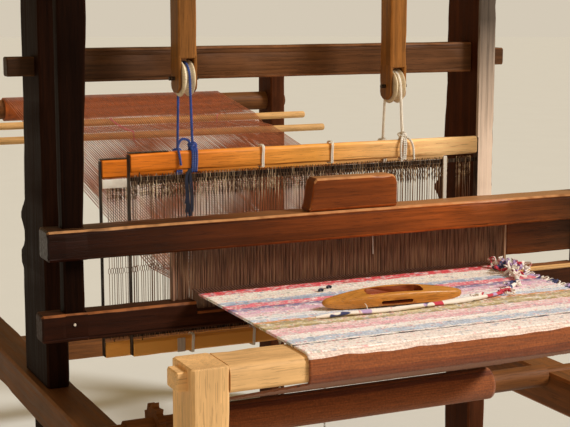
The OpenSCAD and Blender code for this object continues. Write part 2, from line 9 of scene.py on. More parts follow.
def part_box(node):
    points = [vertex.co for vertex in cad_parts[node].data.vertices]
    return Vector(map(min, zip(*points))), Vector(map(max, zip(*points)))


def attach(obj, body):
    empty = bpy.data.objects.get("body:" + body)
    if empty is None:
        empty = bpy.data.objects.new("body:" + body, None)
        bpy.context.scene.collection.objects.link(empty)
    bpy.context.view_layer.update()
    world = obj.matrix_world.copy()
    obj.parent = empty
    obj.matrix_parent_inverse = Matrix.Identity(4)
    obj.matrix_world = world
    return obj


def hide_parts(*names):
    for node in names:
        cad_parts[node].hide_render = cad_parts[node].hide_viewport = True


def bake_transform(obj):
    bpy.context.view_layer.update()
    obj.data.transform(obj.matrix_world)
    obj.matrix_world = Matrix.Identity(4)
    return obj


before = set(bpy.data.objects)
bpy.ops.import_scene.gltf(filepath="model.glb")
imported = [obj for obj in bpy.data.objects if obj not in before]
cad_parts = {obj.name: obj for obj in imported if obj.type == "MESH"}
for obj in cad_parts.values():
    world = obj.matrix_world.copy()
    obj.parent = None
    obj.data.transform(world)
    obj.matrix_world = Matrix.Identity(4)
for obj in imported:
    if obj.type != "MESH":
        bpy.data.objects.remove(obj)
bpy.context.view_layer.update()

bl_info = {
    "name": "Rag rug hand loom",
    "version": (1, 0, 0),
    "blender": (4, 5, 0),
    "location": "3D View > Sidebar > Loom",
    "description": "Dresses a two-shaft hand loom: worn timbers, beater, harness, warp and rag rug",
    "category": "Add Mesh",
}

# Lengths below are the loom's own millimetres: X to the weaver's right, Y back from the
# front face of the uprights, Z up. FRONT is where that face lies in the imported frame.
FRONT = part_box("left_upright")[0].y
AXES = {"x": (0, 1, 2), "y": (1, 0, 2), "z": (2, 0, 1)}
SIDES = {"left": -1, "right": 1}

# Each shaft's place in Y, how far it hangs low and to the right, and its heddles' eye height
SHAFTS = {"front": (-138.0, 0.0, 0.0, 768.0), "back": (-50.0, -21.0, -31.125, 748.0)}
# Heights and places that several pieces share
UPRIGHT_X = (492, 540)
SWORD_X = (548, 588)
SWORD_Y = (-320, -288)
REED_Y = (-306, -292)
NOSE_TOP = (-798, 733, 14)      # the breast beam's rounded front edges: Y, Z and radius
NOSE_LOW = (-802, 712, 10)
BAR_TOP = (961.0, 1000.0)
BAR_LOW = (589.0, 621.0)
BAR_HALF = 400.8
BAR_DEPTH = 9
ROD_TOP = 948.0
ROD_LOW = 633.0
WHEEL_Y = -94.0
WHEELS = {"left": (-267.0, 1141.0), "right": (215.0, 1112.0)}
TWINES = {"left": ("blue_twine", 3.0), "right": ("cream_twine", 3.4)}
CORD_RUN = 32.9
CLOTH_HALF = 332.0
CLOTH_TOP = 751.8
RUG_BASE = 747.3
RUG_T = 4.5
RUG_GAP = 0.3
RUG_LEAN = 19.06        # degrees off level, from the breast beam back to the roll
ROLL_RADIUS = 34.4
FELL_Y = -335.0
STICKS = ((800.0, 933.9), (930.0, 959.2))
WARP_END = (1213.3, 1014.0)
WARP_BEAM = (1220.0, 980.0)
CLOTH_BEAM = (-310.0, 490.0)
PICK = 6.9
LOOM_HALF = 0.6         # metres across which the timbers' painted light and shade change
SHARP = 36.0            # degrees; edges bent further stay sharp
CAP_INSET = 5.0         # a ring of points this far inside a timber's end keeps the end flat
BEAD_DEPTH = 1.1
BEAD_STOP = 8           # beads run out this far before a timber's ends

FLOOR_RADIUS = 40.0
CAMERA_PLACE = (-1.2307, -2.901, 1.308)
CAMERA_TURN = (math.radians(80.82), 0, math.radians(-24.75))
CAMERA_LENS = 85.68
CAMERA_SENSOR = 36


# ---------------------------------------------------------------- settings


def linear(colour):
    """The linear values that Blender's sockets take, from sRGB hex or linear values."""
    if not isinstance(colour, str):
        return tuple(colour)[:3]
    digits = colour.lstrip("#")
    parts = [int(digits[i:i + 2], 16) / 255 for i in (0, 2, 4)]
    return tuple(c / 12.92 if c <= 0.04045 else ((c + 0.055) / 1.055) ** 2.4 for c in parts)


def colour_property(name, description, hex_colour):
    return bpy.props.FloatVectorProperty(name=name, description=description, subtype="COLOR",
                                         size=3, min=0, max=1, default=linear(hex_colour))


def length_property(name, description, metres):
    return bpy.props.FloatProperty(name=name, description=description, default=metres,
                                   min=0.0002, max=0.002, unit="LENGTH", subtype="DISTANCE")


class LoomTimberSettings(bpy.types.PropertyGroup):
    """Sizes and colours of the loom's timbers."""
    hewn: bpy.props.FloatProperty(
        name="Hewn surface", description="How far the hand-planed faces waver, in millimetres",
        default=0.9, min=0, max=2)
    dark: colour_property("Dark timber", "Smoke-darkened pine of the uprights", "#371c0e")
    brown: colour_property("Brown timber", "Oiled pine of the side beams", "#6f4522")
    red: colour_property("Red-brown timber", "Hand-polished wood of the beater", "#7e3e14")
    honey: colour_property("Honey wood", "Oiled birch of the shafts", "#dd9a50")
    pale: colour_property("Pale wood", "Bare pine of the sticks", "#dcae72")


class LoomHarnessSettings(bpy.types.PropertyGroup):
    """Heddles and cords."""
    heddles: bpy.props.IntProperty(name="Heddles", description="Heddles on each shaft",
                                   default=108, min=20, max=160)
    wire: length_property("Heddle wire", "Radius of the heddle wire", 0.0008)
    blue: colour_property("Blue cord", "Twisted cord of the left wheel", "#24489a")
    cream: colour_property("Cream cord", "Cotton cord of the right wheel", "#fbf4e8")


class LoomClothSettings(bpy.types.PropertyGroup):
    """Warp and rag rug."""
    thread: length_property("Warp thread", "Radius of a warp thread", 0.00105)
    warp: colour_property("Warp", "Cotton warp yarn", "#b25a1c")
    fell: colour_property("Last stripe", "Red rag stripe at the fell", "#e0243c")
    ground: colour_property("Ground", "Off-white rags between the stripes", "#f6f0e6")


class LoomStageSettings(bpy.types.PropertyGroup):
    """Floor and lamps."""
    floor: colour_property("Floor", "Plain pale floor", "#dfe3e2")
    backdrop: colour_property("Backdrop", "Wall behind the loom, as pale as the lit floor",
                              "#d4c9b6")
    air: colour_property("Air", "Light that reaches the loom from all round", "#a8906a")
    key: bpy.props.FloatProperty(
        name="Key lamp", description="Strength of the wide lamp at the front right",
        default=2.8, min=0, max=20)
    fill: bpy.props.FloatProperty(
        name="Fill lamp", description="Power of the lamp at the front left",
        default=8, min=0, max=1000, unit="POWER", subtype="POWER")


# ---------------------------------------------------------------- materials


def plug(tree, node, links):
    """Gives each named input of a node a value or another node's output."""
    for socket, value in links.items():
        if isinstance(value, bpy.types.NodeSocket):
            tree.links.new(value, node.inputs[socket])
        else:
            node.inputs[socket].default_value = value
    return node


def put(tree, kind, links=None, **settings):
    """Adds a node with its settings and wires its inputs."""
    node = tree.nodes.new(kind)
    for key, value in settings.items():
        setattr(node, key, value)
    return plug(tree, node, links or {})


def toned(colour, factor):
    return tuple(min(1.0, c * factor) for c in linear(colour))


def opaque(colour):
    """An output as it is, or a fixed colour with its alpha."""
    return colour if isinstance(colour, bpy.types.NodeSocket) else (*linear(colour), 1)


class Finish:
    """A material in the making, with short names for the nodes that the finishes share."""

    def __init__(self, name):
        self.material = bpy.data.materials.new(name)
        self.material.use_nodes = True
        self.tree = self.material.node_tree
        self.place = self.node("ShaderNodeTexCoord", "Object")

    def node(self, kind, output, links=None, **settings):
        return put(self.tree, kind, links, **settings).outputs[output]

    def noise(self, vector, scale, detail, output="Fac", **more):
        """Noise of one scale, or of one for each axis"""
        if isinstance(scale, tuple):
            vector = self.node("ShaderNodeMapping", 0, {"Vector": vector, "Scale": scale})
            scale = 1.0
        return self.node("ShaderNodeTexNoise", output,
                         {"Vector": vector, "Scale": scale, "Detail": detail, **more})

    def remap(self, value, low, high, to_low=0.0, to_high=1.0):
        return self.node("ShaderNodeMapRange", "Result", {
            "Value": value, "From Min": low, "From Max": high, "To Min": to_low,
            "To Max": to_high})

    def mix(self, factor, under, over):
        return self.node("ShaderNodeMix", "Result", {
            "Factor": factor, "A": opaque(under), "B": opaque(over)}, data_type="RGBA")

    def maths(self, operation, *values):
        return self.node("ShaderNodeMath", 0, dict(enumerate(values)), operation=operation)

    def times(self, *values):
        return self.maths("MULTIPLY", *values)

    def sum_of(self, main, other):
        """Six parts of one pattern and four of another"""
        return self.maths("ADD", self.times(main, 0.6), self.times(other, 0.4))

    def scaled(self, colour, factor):
        return self.node("ShaderNodeVectorMath", 0, {0: colour, "Scale": factor},
                         operation="SCALE")

    def axis(self, vector, letter):
        return self.node("ShaderNodeSeparateXYZ", letter, {0: vector})

    def facing(self, letter):
        return self.axis(self.node("ShaderNodeTexCoord", "Normal"), letter)

    def ramp(self, factor, stops, interpolation="LINEAR"):
        """A colour ramp's output; stops are (position, sRGB hex or linear colour)"""
        node = put(self.tree, "ShaderNodeValToRGB", {0: factor})
        node.color_ramp.interpolation = interpolation
        elements = node.color_ramp.elements
        while len(elements) > 1:
            elements.remove(elements[-1])
        for i, (position, colour) in enumerate(stops):
            element = elements[0] if i == 0 else elements.new(position)
            element.position = position
            element.color = opaque(colour)
        return node.outputs["Color"]

    def done(self, colour, rough, bump=None, more=None):
        """The finished material; bump is a height, a strength and a depth in metres"""
        links = {"Base Color": colour, "Roughness": rough, **(more or {})}
        if bump:
            links["Normal"] = self.node("ShaderNodeBump", "Normal", dict(
                zip(("Height", "Strength", "Distance"), bump)))
        plug(self.tree, self.tree.nodes["Principled BSDF"], links)
        return self.material


def wood(name, body, run=None, tints=(1.0,), gloss=0.55, worn=1.9, contrast=1.0, shine=0.25,
         painted_lit_front=None, low=None, rim=None):
    """Planed softwood or birch under old oil: long streaks of darker late wood, fine open
    pores, edges rubbed pale. run is the grain's axis for a piece without a grain attribute;
    tints are factors, plain or one for each colour channel, spread evenly from the loom's left
    side to its right: painted light and shade, mostly darker at the shaded left and lighter at
    the lit right; bleached is the colour of the side that faces the weaver, painted light that
    fades with height; low is the lighter colour of lengths that lie under the cloth, painted
    light on the shaded lower shaft bars; rim is the pale colour of upper and right-facing
    edges, partly rubbed by hands and partly painted highlight, and painted highlight on upper
    faces towards the loom's right, the window side."""
    coat = Finish(name)
    place = coat.place
    if run:
        turn = {"x": (0, 0, 0), "y": (0, 0, -math.pi / 2)}[run]
        grain = coat.node("ShaderNodeMapping", 0, {"Vector": place, "Rotation": turn})
    else:
        grain = coat.node("ShaderNodeAttribute", "Vector", attribute_name="grain")
    # Late wood lines about 8 mm wide and 250 mm long, figure about 60 mm wide
    streak = coat.noise(grain, (4, 125, 125), 5.0, Roughness=0.62, Distortion=0.5)
    figure = coat.noise(grain, (1.3, 17, 17), 3.0, Distortion=1.6)
    pattern = coat.sum_of(streak, figure)
    colour = coat.ramp(pattern, [
        (0.30, toned(body, 1 - 0.42 * contrast)), (0.46, body),
        (0.56, toned(body, 1 + 0.35 * contrast)), (0.70, toned(body, 1 + 0.8 * contrast))])
    # Real pores are 0.3 mm wide; these are 2 mm, as coarse as they need to show
    specks = coat.maths("LESS_THAN", coat.noise(grain, (22, 520, 520), 2.0), 0.40)
    colour = coat.mix(coat.times(specks, 0.38), colour, toned(body, 0.34))
    if not run:
        wear = coat.node("ShaderNodeAttribute", "Fac", attribute_name="wear")
        rub = coat.maths("ADD", coat.noise(place, 38.0, 3.0), 0.25)
        edge = coat.remap(coat.times(wear, rub), 0.35, 0.85)
        colour = coat.mix(coat.times(edge, 0.75), colour, toned(body, worn))
    # Blotches of handling and soot, about 150 mm across
    tone = coat.remap(coat.noise(place, 7.0, 4.0), 0.3, 0.7, 0.8, 1.15)
    # Painted light and shade: the tints darken the loom's left side and lighten its right
    if len(tints) > 1:
        tints = [tint if isinstance(tint, tuple) else (tint,) * 3 for tint in tints]
        most = max(max(tint) for tint in tints)
        tint = coat.ramp(coat.remap(coat.axis(place, "X"), -LOOM_HALF, LOOM_HALF), [
            (i / (len(tints) - 1), toned(t, 1 / most)) for i, t in enumerate(tints)])
        colour = coat.node("ShaderNodeVectorMath", 0, {0: colour, 1: tint},
                           operation="MULTIPLY")
        tone = coat.times(tone, most)
    colour = coat.scaled(colour, tone)
    # Partly rubbed wear, partly painted highlight: upper and right-facing edges, and upper faces
    # towards the loom's right, take the pale rim colour
    if rim:
        up = coat.facing("Z")
        upward = coat.remap(coat.maths("MAXIMUM", up, coat.facing("X")), 0.2, 0.5)
        lit = coat.remap(coat.axis(place, "X"), -0.3, 0.15, 0.03, 0.6)
        flat = coat.times(coat.remap(up, 0.85, 0.95), lit)
        bare = coat.maths("MAXIMUM", coat.times(coat.times(edge, upward), 0.8), flat)
        colour = coat.mix(bare, colour, rim)
    # Painted light: lengths below 0.8 m, the lower shaft bars that lie in shade, are painted
    # lighter
    if low:
        colour = coat.mix(coat.remap(coat.axis(place, "Z"), 0.80, 0.85, 0.9, 0.0), colour, low)
    # Painted light: the face towards the weaver takes a paler colour, fading higher up
    if painted_lit_front:
        facing = coat.remap(coat.facing("Y"), -0.8, -0.4, 1.0, 0.0)
        lit_front_fade = coat.remap(coat.axis(place, "Z"), 0.95, 1.25, 1.15, 0.15)
        grey = coat.ramp(pattern, [(0.34, toned(painted_lit_front, 0.62)), (0.45, painted_lit_front),
                                   (0.6, toned(painted_lit_front, 1.15))])
        colour = coat.mix(facing, colour, coat.scaled(grey, lit_front_fade))
    height = coat.maths("SUBTRACT", streak, coat.times(specks, 0.5))
    return coat.done(colour, coat.remap(streak, 0.3, 0.7, gloss - 0.1, gloss + 0.14),
                     (height, 0.45, 0.0009), {"IOR": 1.45, "Specular IOR Level": shine})


def old_steel(name, dark, light, rough=0.42, metal=0.75, low=None):
    """Iron wire and strip gone brown with handling, dull, with brighter rubbed lengths. On the
    heddle wires the brown is partly painted warm reflection and the brighter lengths partly
    painted highlight; low gives the two browner colours below a height of 0.9 m, painted
    reflection as well."""
    coat = Finish(name)
    # Each wire keeps one tone: the pattern is 3 mm wide across the loom and 60 mm tall
    blotch = coat.noise(coat.place, (330, 90, 16), 2.0)
    colour = coat.ramp(blotch, [(0.34, dark), (0.49, toned(dark, 2.0)), (0.62, light)])
    # Painted reflection: below 0.9 m the wires take two browner colours
    if low:
        under = coat.remap(coat.axis(coat.place, "Z"), 0.885, 0.91, 1.0, 0.0)
        colour = coat.mix(under, colour, coat.ramp(blotch, [(0.36, low[0]), (0.62, low[1])]))
    return coat.done(colour, coat.remap(blotch, 0.0, 1.0, rough + 0.2, rough - 0.1),
                     more={"Metallic": metal})


def fibre(name, colour, spread, painted_shade=None):
    """Spun cotton or rag: dull, with a soft sheen and uneven dye along the yarn. soiled darkens
    the lengths in front of the reed: painted shade under the beater's top rail."""
    coat = Finish(name)
    hair = coat.noise(coat.place, 900.0, 2.0)
    dyed = coat.ramp(coat.sum_of(coat.noise(coat.place, 60.0, 3.0), hair), [
        (0.36, toned(colour, 1 - spread)), (0.5, colour), (0.66, toned(colour, 1 + spread))])
    # Painted shade: the warp in front of the reed, under the beater's top rail, is darker
    if painted_shade:
        dyed = coat.scaled(dyed, coat.remap(coat.axis(coat.place, "Y"), FRONT - 0.300,
                                            FRONT - 0.285, painted_shade))
    return coat.done(dyed, 0.9, (hair, 0.5, 0.0004), {"Sheen Weight": 0.25})


def rag_weave(name, cloth):
    """Rag rug: printed cotton strips beaten into stripes, one strip to a pick of 6.9 mm, with
    the warp showing as darker dots in the valleys. The weave attribute holds the way across,
    the way along from the fell in metres, and the height of the surface from 0 to 1."""
    coat = Finish(name)
    across, along, height = put(coat.tree, "ShaderNodeSeparateXYZ", {
        0: coat.node("ShaderNodeAttribute", "Vector", attribute_name="weave")}).outputs

    def rug_noise(x, y, scale, detail, output="Fac"):
        point = coat.node("ShaderNodeCombineXYZ", 0, {0: x, 1: y})
        return coat.noise(point, (*scale, 1.0), detail, output)

    waver = coat.maths("SUBTRACT", rug_noise(across, 0.0, (9.0, 1.0), 2.0), 0.5)
    where = coat.maths("ADD", along, coat.times(waver, 0.012))
    # Each stripe's first millimetre from the fell, and its colour; the browns from 478 mm on are
    # painted shade on the rug past the fold over the breast beam
    stripes = (
        (0, cloth.fell), (25, "#e4505e"), (31, cloth.ground), (60, "#f3ebe2"), (90, "#aec4de"),
        (103, "#93abcb"), (115, "#ea6f86"), (143, "#776798"), (155, "#9488b4"), (165, "#dfb4d2"),
        (190, "#f0d4e2"), (213, "#eef2f8"), (235, "#c9daf0"), (255, "#dd9f66"), (265, "#b3a072"),
        (285, "#d6c9a0"), (300, "#b09d68"), (310, "#f6d4da"), (335, "#eebccb"), (355, "#fdfafc"),
        (380, "#bfd2ec"), (410, "#fbf8fa"), (415, "#3d3c4c"), (421, "#fbf2f2"), (448, "#fdf8f6"),
        (468, "#f0ded6"), (478, "#8a4a22"), (500, "#713718"), (524, "#965428"), (545, "#683116"),
        (560, "#8a4c24"))
    striped = 600.0
    colour = coat.ramp(coat.maths("DIVIDE", where, striped / 1000),
                       [(start / striped, tone) for start, tone in stripes], "CONSTANT")
    # Prints on the rags change about every 16 mm along a pick
    pick = coat.maths("FLOOR", coat.maths("DIVIDE", along, PICK / 1000))
    print_colour = rug_noise(across, pick, (62.0, 3.77), 1.5, "Color")
    fleck = coat.ramp(coat.node("ShaderNodeSeparateColor", "Green", {0: print_colour}), [
        (0.0, "#2b3157"), (0.34, "#8ea4c4"), (0.42, "#ffffff"), (0.52, "#fbf6f4"),
        (0.57, "#e8808e"), (0.62, "#fbf6f0"), (0.69, "#7f8f78")])
    amount = coat.remap(rug_noise(across, pick, (62.0, 3.77), 1.5), 0.47, 0.60, 0.0, 0.62)
    printed = coat.maths("LESS_THAN", along, 0.470)
    colour = coat.mix(coat.times(amount, printed), colour, fleck)
    # The brown end of the rug is painted shade past its fold over the breast beam: no print, only
    # streaky along its picks
    streak = coat.remap(rug_noise(across, along, (16.0, 420.0), 3.0), 0.3, 0.7, 0.72, 1.3)
    colour = coat.scaled(colour, coat.maths("MAXIMUM", streak, printed))
    # Frayed edges of the strips catch the light in grains of 4 mm
    grain = coat.remap(coat.noise(coat.place, 260.0, 2.0), 0.32, 0.68, 0.82, 1.28)
    colour = coat.mix(coat.remap(height, 0.05, 0.5, 0.24, 0.0), coat.scaled(colour, grain),
                      toned(cloth.warp, 0.8))
    # Folds of the torn strips, about 2 mm
    crease = coat.noise(coat.place, (240.0, 720.0, 720.0), 3.0)
    return coat.done(colour, 0.92, (crease, 0.6, 0.0012), {"Sheen Weight": 0.2})


def torn_rag(name, cloth):
    """Loose end of a rag strip: printed cotton whose colour changes every few centimetres."""
    coat = Finish(name)
    channels = put(coat.tree, "ShaderNodeSeparateColor", {
        0: coat.noise(coat.place, 30.0, 1.0, "Color")}).outputs
    colour = "#f6efe8"
    for channel, edge, ink in (("Red", 0.55, "#c3a9d8"), ("Green", 0.58, "#cc3a50"),
                               ("Blue", 0.61, "#343c6c")):
        colour = coat.mix(coat.remap(channels[channel], edge, edge + 0.03), colour, ink)
    return coat.done(colour, 0.9, (coat.noise(coat.place, 700.0, 2.0), 0.5, 0.0006),
                     {"Sheen Weight": 0.2})


def finish_of(name):
    """The loom's finishes by name, made once."""
    if name in bpy.data.materials:
        return bpy.data.materials[name]
    scene = bpy.context.scene
    timber, harness, cloth = scene.loom_timber, scene.loom_harness, scene.loom_cloth
    # Tints paint light and shade across the loom: most finishes are darker at the shaded left and
    # lighter at the lit right. rim paints highlights on upper faces and edges, and low paints the
    # shaded lower shaft bars lighter.
    woods = {
        "smoked_pine": (timber.dark, dict(
            tints=(0.15, 0.8, 1.3, 1.6), gloss=0.6, worn=2.2, shine=0.04)),
        "window_side_pine": (toned(timber.dark, 1.5), dict(
            gloss=0.6, worn=1.6, shine=0.04, painted_lit_front="#e6cfbc")),
        "smoked_rail": ("#4b301c", dict(
            tints=(0.5, 1.0, 2.4, 1.8, 1.2), gloss=0.5, worn=2.6, shine=0.15)),
        "oiled_pine": (timber.brown, dict(tints=(0.7, 1.0, 1.2))),
        "polished_beater_wood": (timber.red, dict(
            tints=((0.05, 0.028, 0.02), 0.15, 0.42, 0.75, 1.3, (0.7, 0.76, 0.88),
                   (0.1, 0.22, 0.42)),
            gloss=0.38, worn=2.8, shine=0.2, rim="#d09a68")),
        "worn_race_wood": (toned(timber.dark, 1.6), dict(
            tints=((0.36, 0.27, 0.23), 0.6, 0.8), gloss=0.5, worn=2.2, shine=0.12,
            rim="#a8683c")),
        "oiled_hanger_wood": ("#94602b", dict(tints=(0.6, 0.68, 0.95, 1.0), gloss=0.45)),
        "oiled_birch": (timber.honey, dict(
            tints=((0.9, 0.5, 0.1), (1.0, 0.62, 0.2), (1.14, 1.15, 0.9), (1.25, 1.85, 3.6),
                   (1.25, 1.9, 3.8)),
            gloss=0.42, worn=1.3, contrast=0.45, low="#ffba5e")),
        "hand_worn_pine": ("#e8bb82", dict(worn=1.2, contrast=0.35)),
        "shaded_hollow": ("#8a4018", dict(run="x", contrast=0.6)),
        "turned_limewood": ("#f6e4c4", dict(worn=1.1, contrast=0.3)),
        "bare_pine": (timber.pale, dict(gloss=0.6, worn=1.2, contrast=0.5)),
        "birch_along_x": ("#d08c3a", dict(run="x", gloss=0.32, contrast=0.55, shine=0.6)),
        "pine_along_x": (timber.brown, dict(run="x")),
        "pine_along_y": (timber.brown, dict(run="y")),
    }
    others = {
        "iron": (old_steel, "#2a211c", "#6b5a4c"),
        "rubbed_iron": (old_steel, "#a49a90", "#e2dad0", 0.35, 0.3),
        # The heddle wires' browns are partly painted warm reflection
        "heddle_wire": (old_steel, "#513a2a", "#ead4b4", 0.4, 0.15, ("#4a2c18", "#946440")),
        "reed_strips": (old_steel, "#6e5040", "#b08c70", 0.5, 0.1),
        # The warp's last value paints shade in front of the reed
        "cotton_warp": (fibre, cloth.warp, 0.45, 0.3),
        "blue_twine": (fibre, harness.blue, 0.4),
        "navy_wool": (fibre, "#1b2138", 0.5),
        "cream_twine": (fibre, harness.cream, 0.15),
        "white_thread": (fibre, "#efe9df", 0.1),
        "pink_tape": (fibre, "#d8717c", 0.2),
        "woven_rag_strips": (rag_weave, cloth),
        "torn_cotton_rag": (torn_rag, cloth),
    }
    if name in woods:
        body, rest = woods[name]
        return wood(name, body, **rest)
    maker, *values = others[name]
    return maker(name, *values)


# ---------------------------------------------------------------- shapes


def mm(x, y, z):
    """A point of the loom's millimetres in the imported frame's metres."""
    return Vector((x / 1000, y / 1000 + FRONT, z / 1000))


def mirrored(sign, near, far):
    """A range across the loom on its right side, or the same one on its left."""
    return tuple(sorted((sign * near, sign * far)))


def level(line, at):
    """The height at a place of a bent line through (place, height) points."""
    for (near, low), (far, high) in zip(line, line[1:]):
        if at <= far:
            return low + (high - low) * max(0.0, at - near) / (far - near)
    return line[-1][1]


def smooth_path(points, spans=6, at=(0, 0, 0)):
    """A rounded path through points that are counted from a place, by Catmull and Rom's rule."""
    pts = [Vector([a + b for a, b in zip(p, at)]) for p in points]
    pts = [2 * pts[0] - pts[1], *pts, 2 * pts[-1] - pts[-2]]
    shares = [i / spans for i in range(spans)]
    return [0.5 * ((2 * b) + (c - a) * t + (2 * a - 5 * b + 4 * c - d) * t * t
                   + (3 * b - a - 3 * c + d) * t ** 3)
            for a, b, c, d in zip(pts, pts[1:], pts[2:], pts[3:]) for t in shares] + [pts[-2]]


def straight(a, b, steps):
    a, b = Vector(a), Vector(b)
    return [a.lerp(b, i / steps) for i in range(steps + 1)]


def box_section(u, v, chamfer, beads, depth, inset):
    """Points (u, v, wear) round a timber's section. The points by the corners carry the wear;
    beads are the heights of small grooves, depth deep, in the face at the low end of u."""
    u0, u1, v0, v1 = u[0] + inset, u[1] - inset, v[0] + inset, v[1] - inset
    c = min(chamfer, 0.3 * min(u1 - u0, v1 - v0))
    eu, ev = min(c + 3, 0.46 * (u1 - u0)), min(c + 3, 0.46 * (v1 - v0))
    points = [(u0 + c, v0, 1), (u0 + eu, v0, 0), (u1 - eu, v0, 0), (u1 - c, v0, 1),
              (u1, v0 + c, 1), (u1, v0 + ev, 0), (u1, v1 - ev, 0), (u1, v1 - c, 1),
              (u1 - c, v1, 1), (u1 - eu, v1, 0), (u0 + eu, v1, 0), (u0 + c, v1, 1),
              (u0, v1 - c, 1), (u0, v1 - ev, 0)]
    for bead in sorted(beads, reverse=True):
        points += [(u0, bead + 1.3, 0.3), (u0 + depth, bead, 0), (u0, bead - 1.3, 0.3)]
    return points + [(u0, v0 + ev, 0), (u0, v0 + c, 1)]


def round_section(u, v, radius, sides):
    turns = [2 * math.pi * i / sides for i in range(sides)]
    return [(u + radius * math.cos(a), v + radius * math.sin(a), 0.3) for a in turns]


def quads(low, high, close=True):
    """The faces between two rings of points, or between two open rows."""
    count = len(low)
    return [(low[i], low[(i + 1) % count], high[(i + 1) % count], high[i])
            for i in range(count if close else count - 1)]


class Shape:
    """A mesh in the making, in the loom's millimetres. Its points carry the way of the grain
    and the wear of the edges."""

    def __init__(self, seed, wobble=0.0):
        self.bm = bmesh.new()
        self.grain = self.bm.verts.layers.float_vector.new("grain")
        self.wear = self.bm.verts.layers.float.new("wear")
        self.rng = random.Random(seed)
        self.wobble = wobble

    def point(self, place, grain, wear=0.0):
        vert = self.bm.verts.new(place)
        vert[self.grain] = grain
        vert[self.wear] = wear
        return vert

    def skin(self, rings):
        """Quads between rings of points, and a face over each end"""
        for low, high in zip(rings, rings[1:]):
            for corners in quads(low, high):
                self.bm.faces.new(corners)
        self.bm.faces.new(rings[0][::-1])
        self.bm.faces.new(rings[-1])

    def loft(self, axis, stations):
        """A timber from sections along an axis. Its faces waver inwards like planed wood."""
        t_at, u_at, v_at = AXES[axis]
        shift = Vector([self.rng.uniform(0, 40) for _ in range(3)])
        rings = []
        for number, (t, points) in enumerate([stations[0]] + stations + [stations[-1]]):
            cap = number in (0, len(stations) + 1)
            spans = [(min(way), max(way)) for way in list(zip(*points))[:2]]
            middle = [(a + b) / 2 for a, b in spans]
            half = [max((b - a) / 2, 0.01) for a, b in spans]
            ring = []
            for u, v, wear in points:
                place = [0, 0, 0]
                place[t_at], place[u_at], place[v_at] = t, u, v
                spot = Vector(place)
                waver = noise.noise(spot * 0.011 + shift) * 0.5 + 0.5
                nick = max(0.0, noise.noise(spot * 0.07 + shift) - 0.1) * 3 * wear
                pull = self.wobble * (waver + nick)
                if cap:
                    pull += min(CAP_INSET, 0.5 * min(half))
                    wear = 0.0
                place[u_at] = u + pull * (middle[0] - u) / half[0]
                place[v_at] = v + pull * (middle[1] - v) / half[1]
                grain = (t / 1000 + shift.x, u / 1000 + shift.y, v / 1000 + shift.z)
                ring.append(self.point(place, grain, wear))
            rings.append(ring)
        self.skin(rings)

    def plank(self, axis, t, u, v, chamfer, beads=(), step=36.0, shape=None, extra=(),
              bevel=2.0):
        """A planed timber between two end planes. shape gives its section where that changes,
        extra the places that need a section of their own."""
        t0, t1 = t
        count = max(1, round((t1 - t0) / step))
        cuts = [(t1 - t0) * i / count for i in range(1, count)]
        places = {t0 + bevel, t1 - bevel, *extra, *(t0 + c for c in cuts if 4 < c < t1 - t0 - 4)}

        def section(at, inset=0.0):
            depth = BEAD_DEPTH if t0 + BEAD_STOP < at < t1 - BEAD_STOP else 0.0
            return box_section(*(shape(at) if shape else (u, v)), chamfer, beads, depth, inset)

        stations = [(t0, section(t0 + 0.01, bevel))]
        stations += [(p, section(p)) for p in sorted(places)]
        self.loft(axis, stations + [(t1, section(t1 - 0.01, bevel))])

    def rod(self, axis, centre, profile, sides):
        """A turned piece along an axis from (place, radius) pairs."""
        self.loft(axis, [(t, round_section(*centre, r, sides)) for t, r in profile])

    def tube(self, path, radius, sides=5, twist=0.0, phase=0.0, off=0.0, flat=1.0):
        """A round strand along a path of points; off and twist wind it round the path, flat
        squeezes it to a ribbon. radius may change with the share of the way."""
        path = [Vector(p) for p in path]
        side = (path[1] - path[0]).normalized().orthogonal().normalized()
        shift = self.rng.uniform(0, 40)
        rings, gone = [], 0.0
        for i, place in enumerate(path):
            ahead = (path[min(i + 1, len(path) - 1)] - path[max(i - 1, 0)]).normalized()
            side = (side - ahead * side.dot(ahead)).normalized()
            up = ahead.cross(side)
            gone += (place - path[i - 1]).length if i else 0.0
            turn = phase + twist * gone
            c, s = math.cos(turn), math.sin(turn)
            heart = place + (side * c + up * s) * off
            wide = radius(i / (len(path) - 1)) if callable(radius) else radius
            ring = []
            for k in range(sides):
                a = 2 * math.pi * k / sides
                p, q = wide * math.cos(a), wide * flat * math.sin(a)
                spot = heart + side * (p * c - q * s) + up * (p * s + q * c)
                ring.append(self.point(spot, (gone / 1000 + shift, p / 1000, q / 1000)))
            rings.append(ring)
        self.skin(rings)

    def rope(self, path, radius, pitch=14.0, sides=5):
        """Twisted cord: three strands wound round the path, one turn every pitch."""
        for k in range(3):
            self.tube(path, radius * 0.56, sides, 2 * math.pi / pitch, 2 * math.pi * k / 3,
                      radius * 0.5)

    def move(self, matrix):
        self.bm.transform(matrix)
        return self

    def mesh(self, name, finish, placed=True, sharp=SHARP):
        """The finished mesh, in metres; a template for a row stays at its own origin."""
        bm = self.bm
        bmesh.ops.recalc_face_normals(bm, faces=bm.faces)
        for face in bm.faces:
            face.smooth = True
        for edge in bm.edges:
            if len(edge.link_faces) == 2 and edge.calc_face_angle(0) > math.radians(sharp):
                edge.smooth = False
        bm.transform(Matrix.Scale(0.001, 4))
        if placed:
            bm.transform(Matrix.Translation((0, FRONT, 0)))
        made = bpy.data.meshes.new(name)
        bm.to_mesh(made)
        bm.free()
        made.materials.append(finish_of(finish))
        return made

    def done(self, name, body, finish, replaces=(), slot=None, sharp=SHARP):
        return settle(new_object(name, self.mesh(name, finish, True, sharp)), body, replaces)


def new_object(name, data):
    obj = bpy.data.objects.new(name, data)
    bpy.context.scene.collection.objects.link(obj)
    return obj


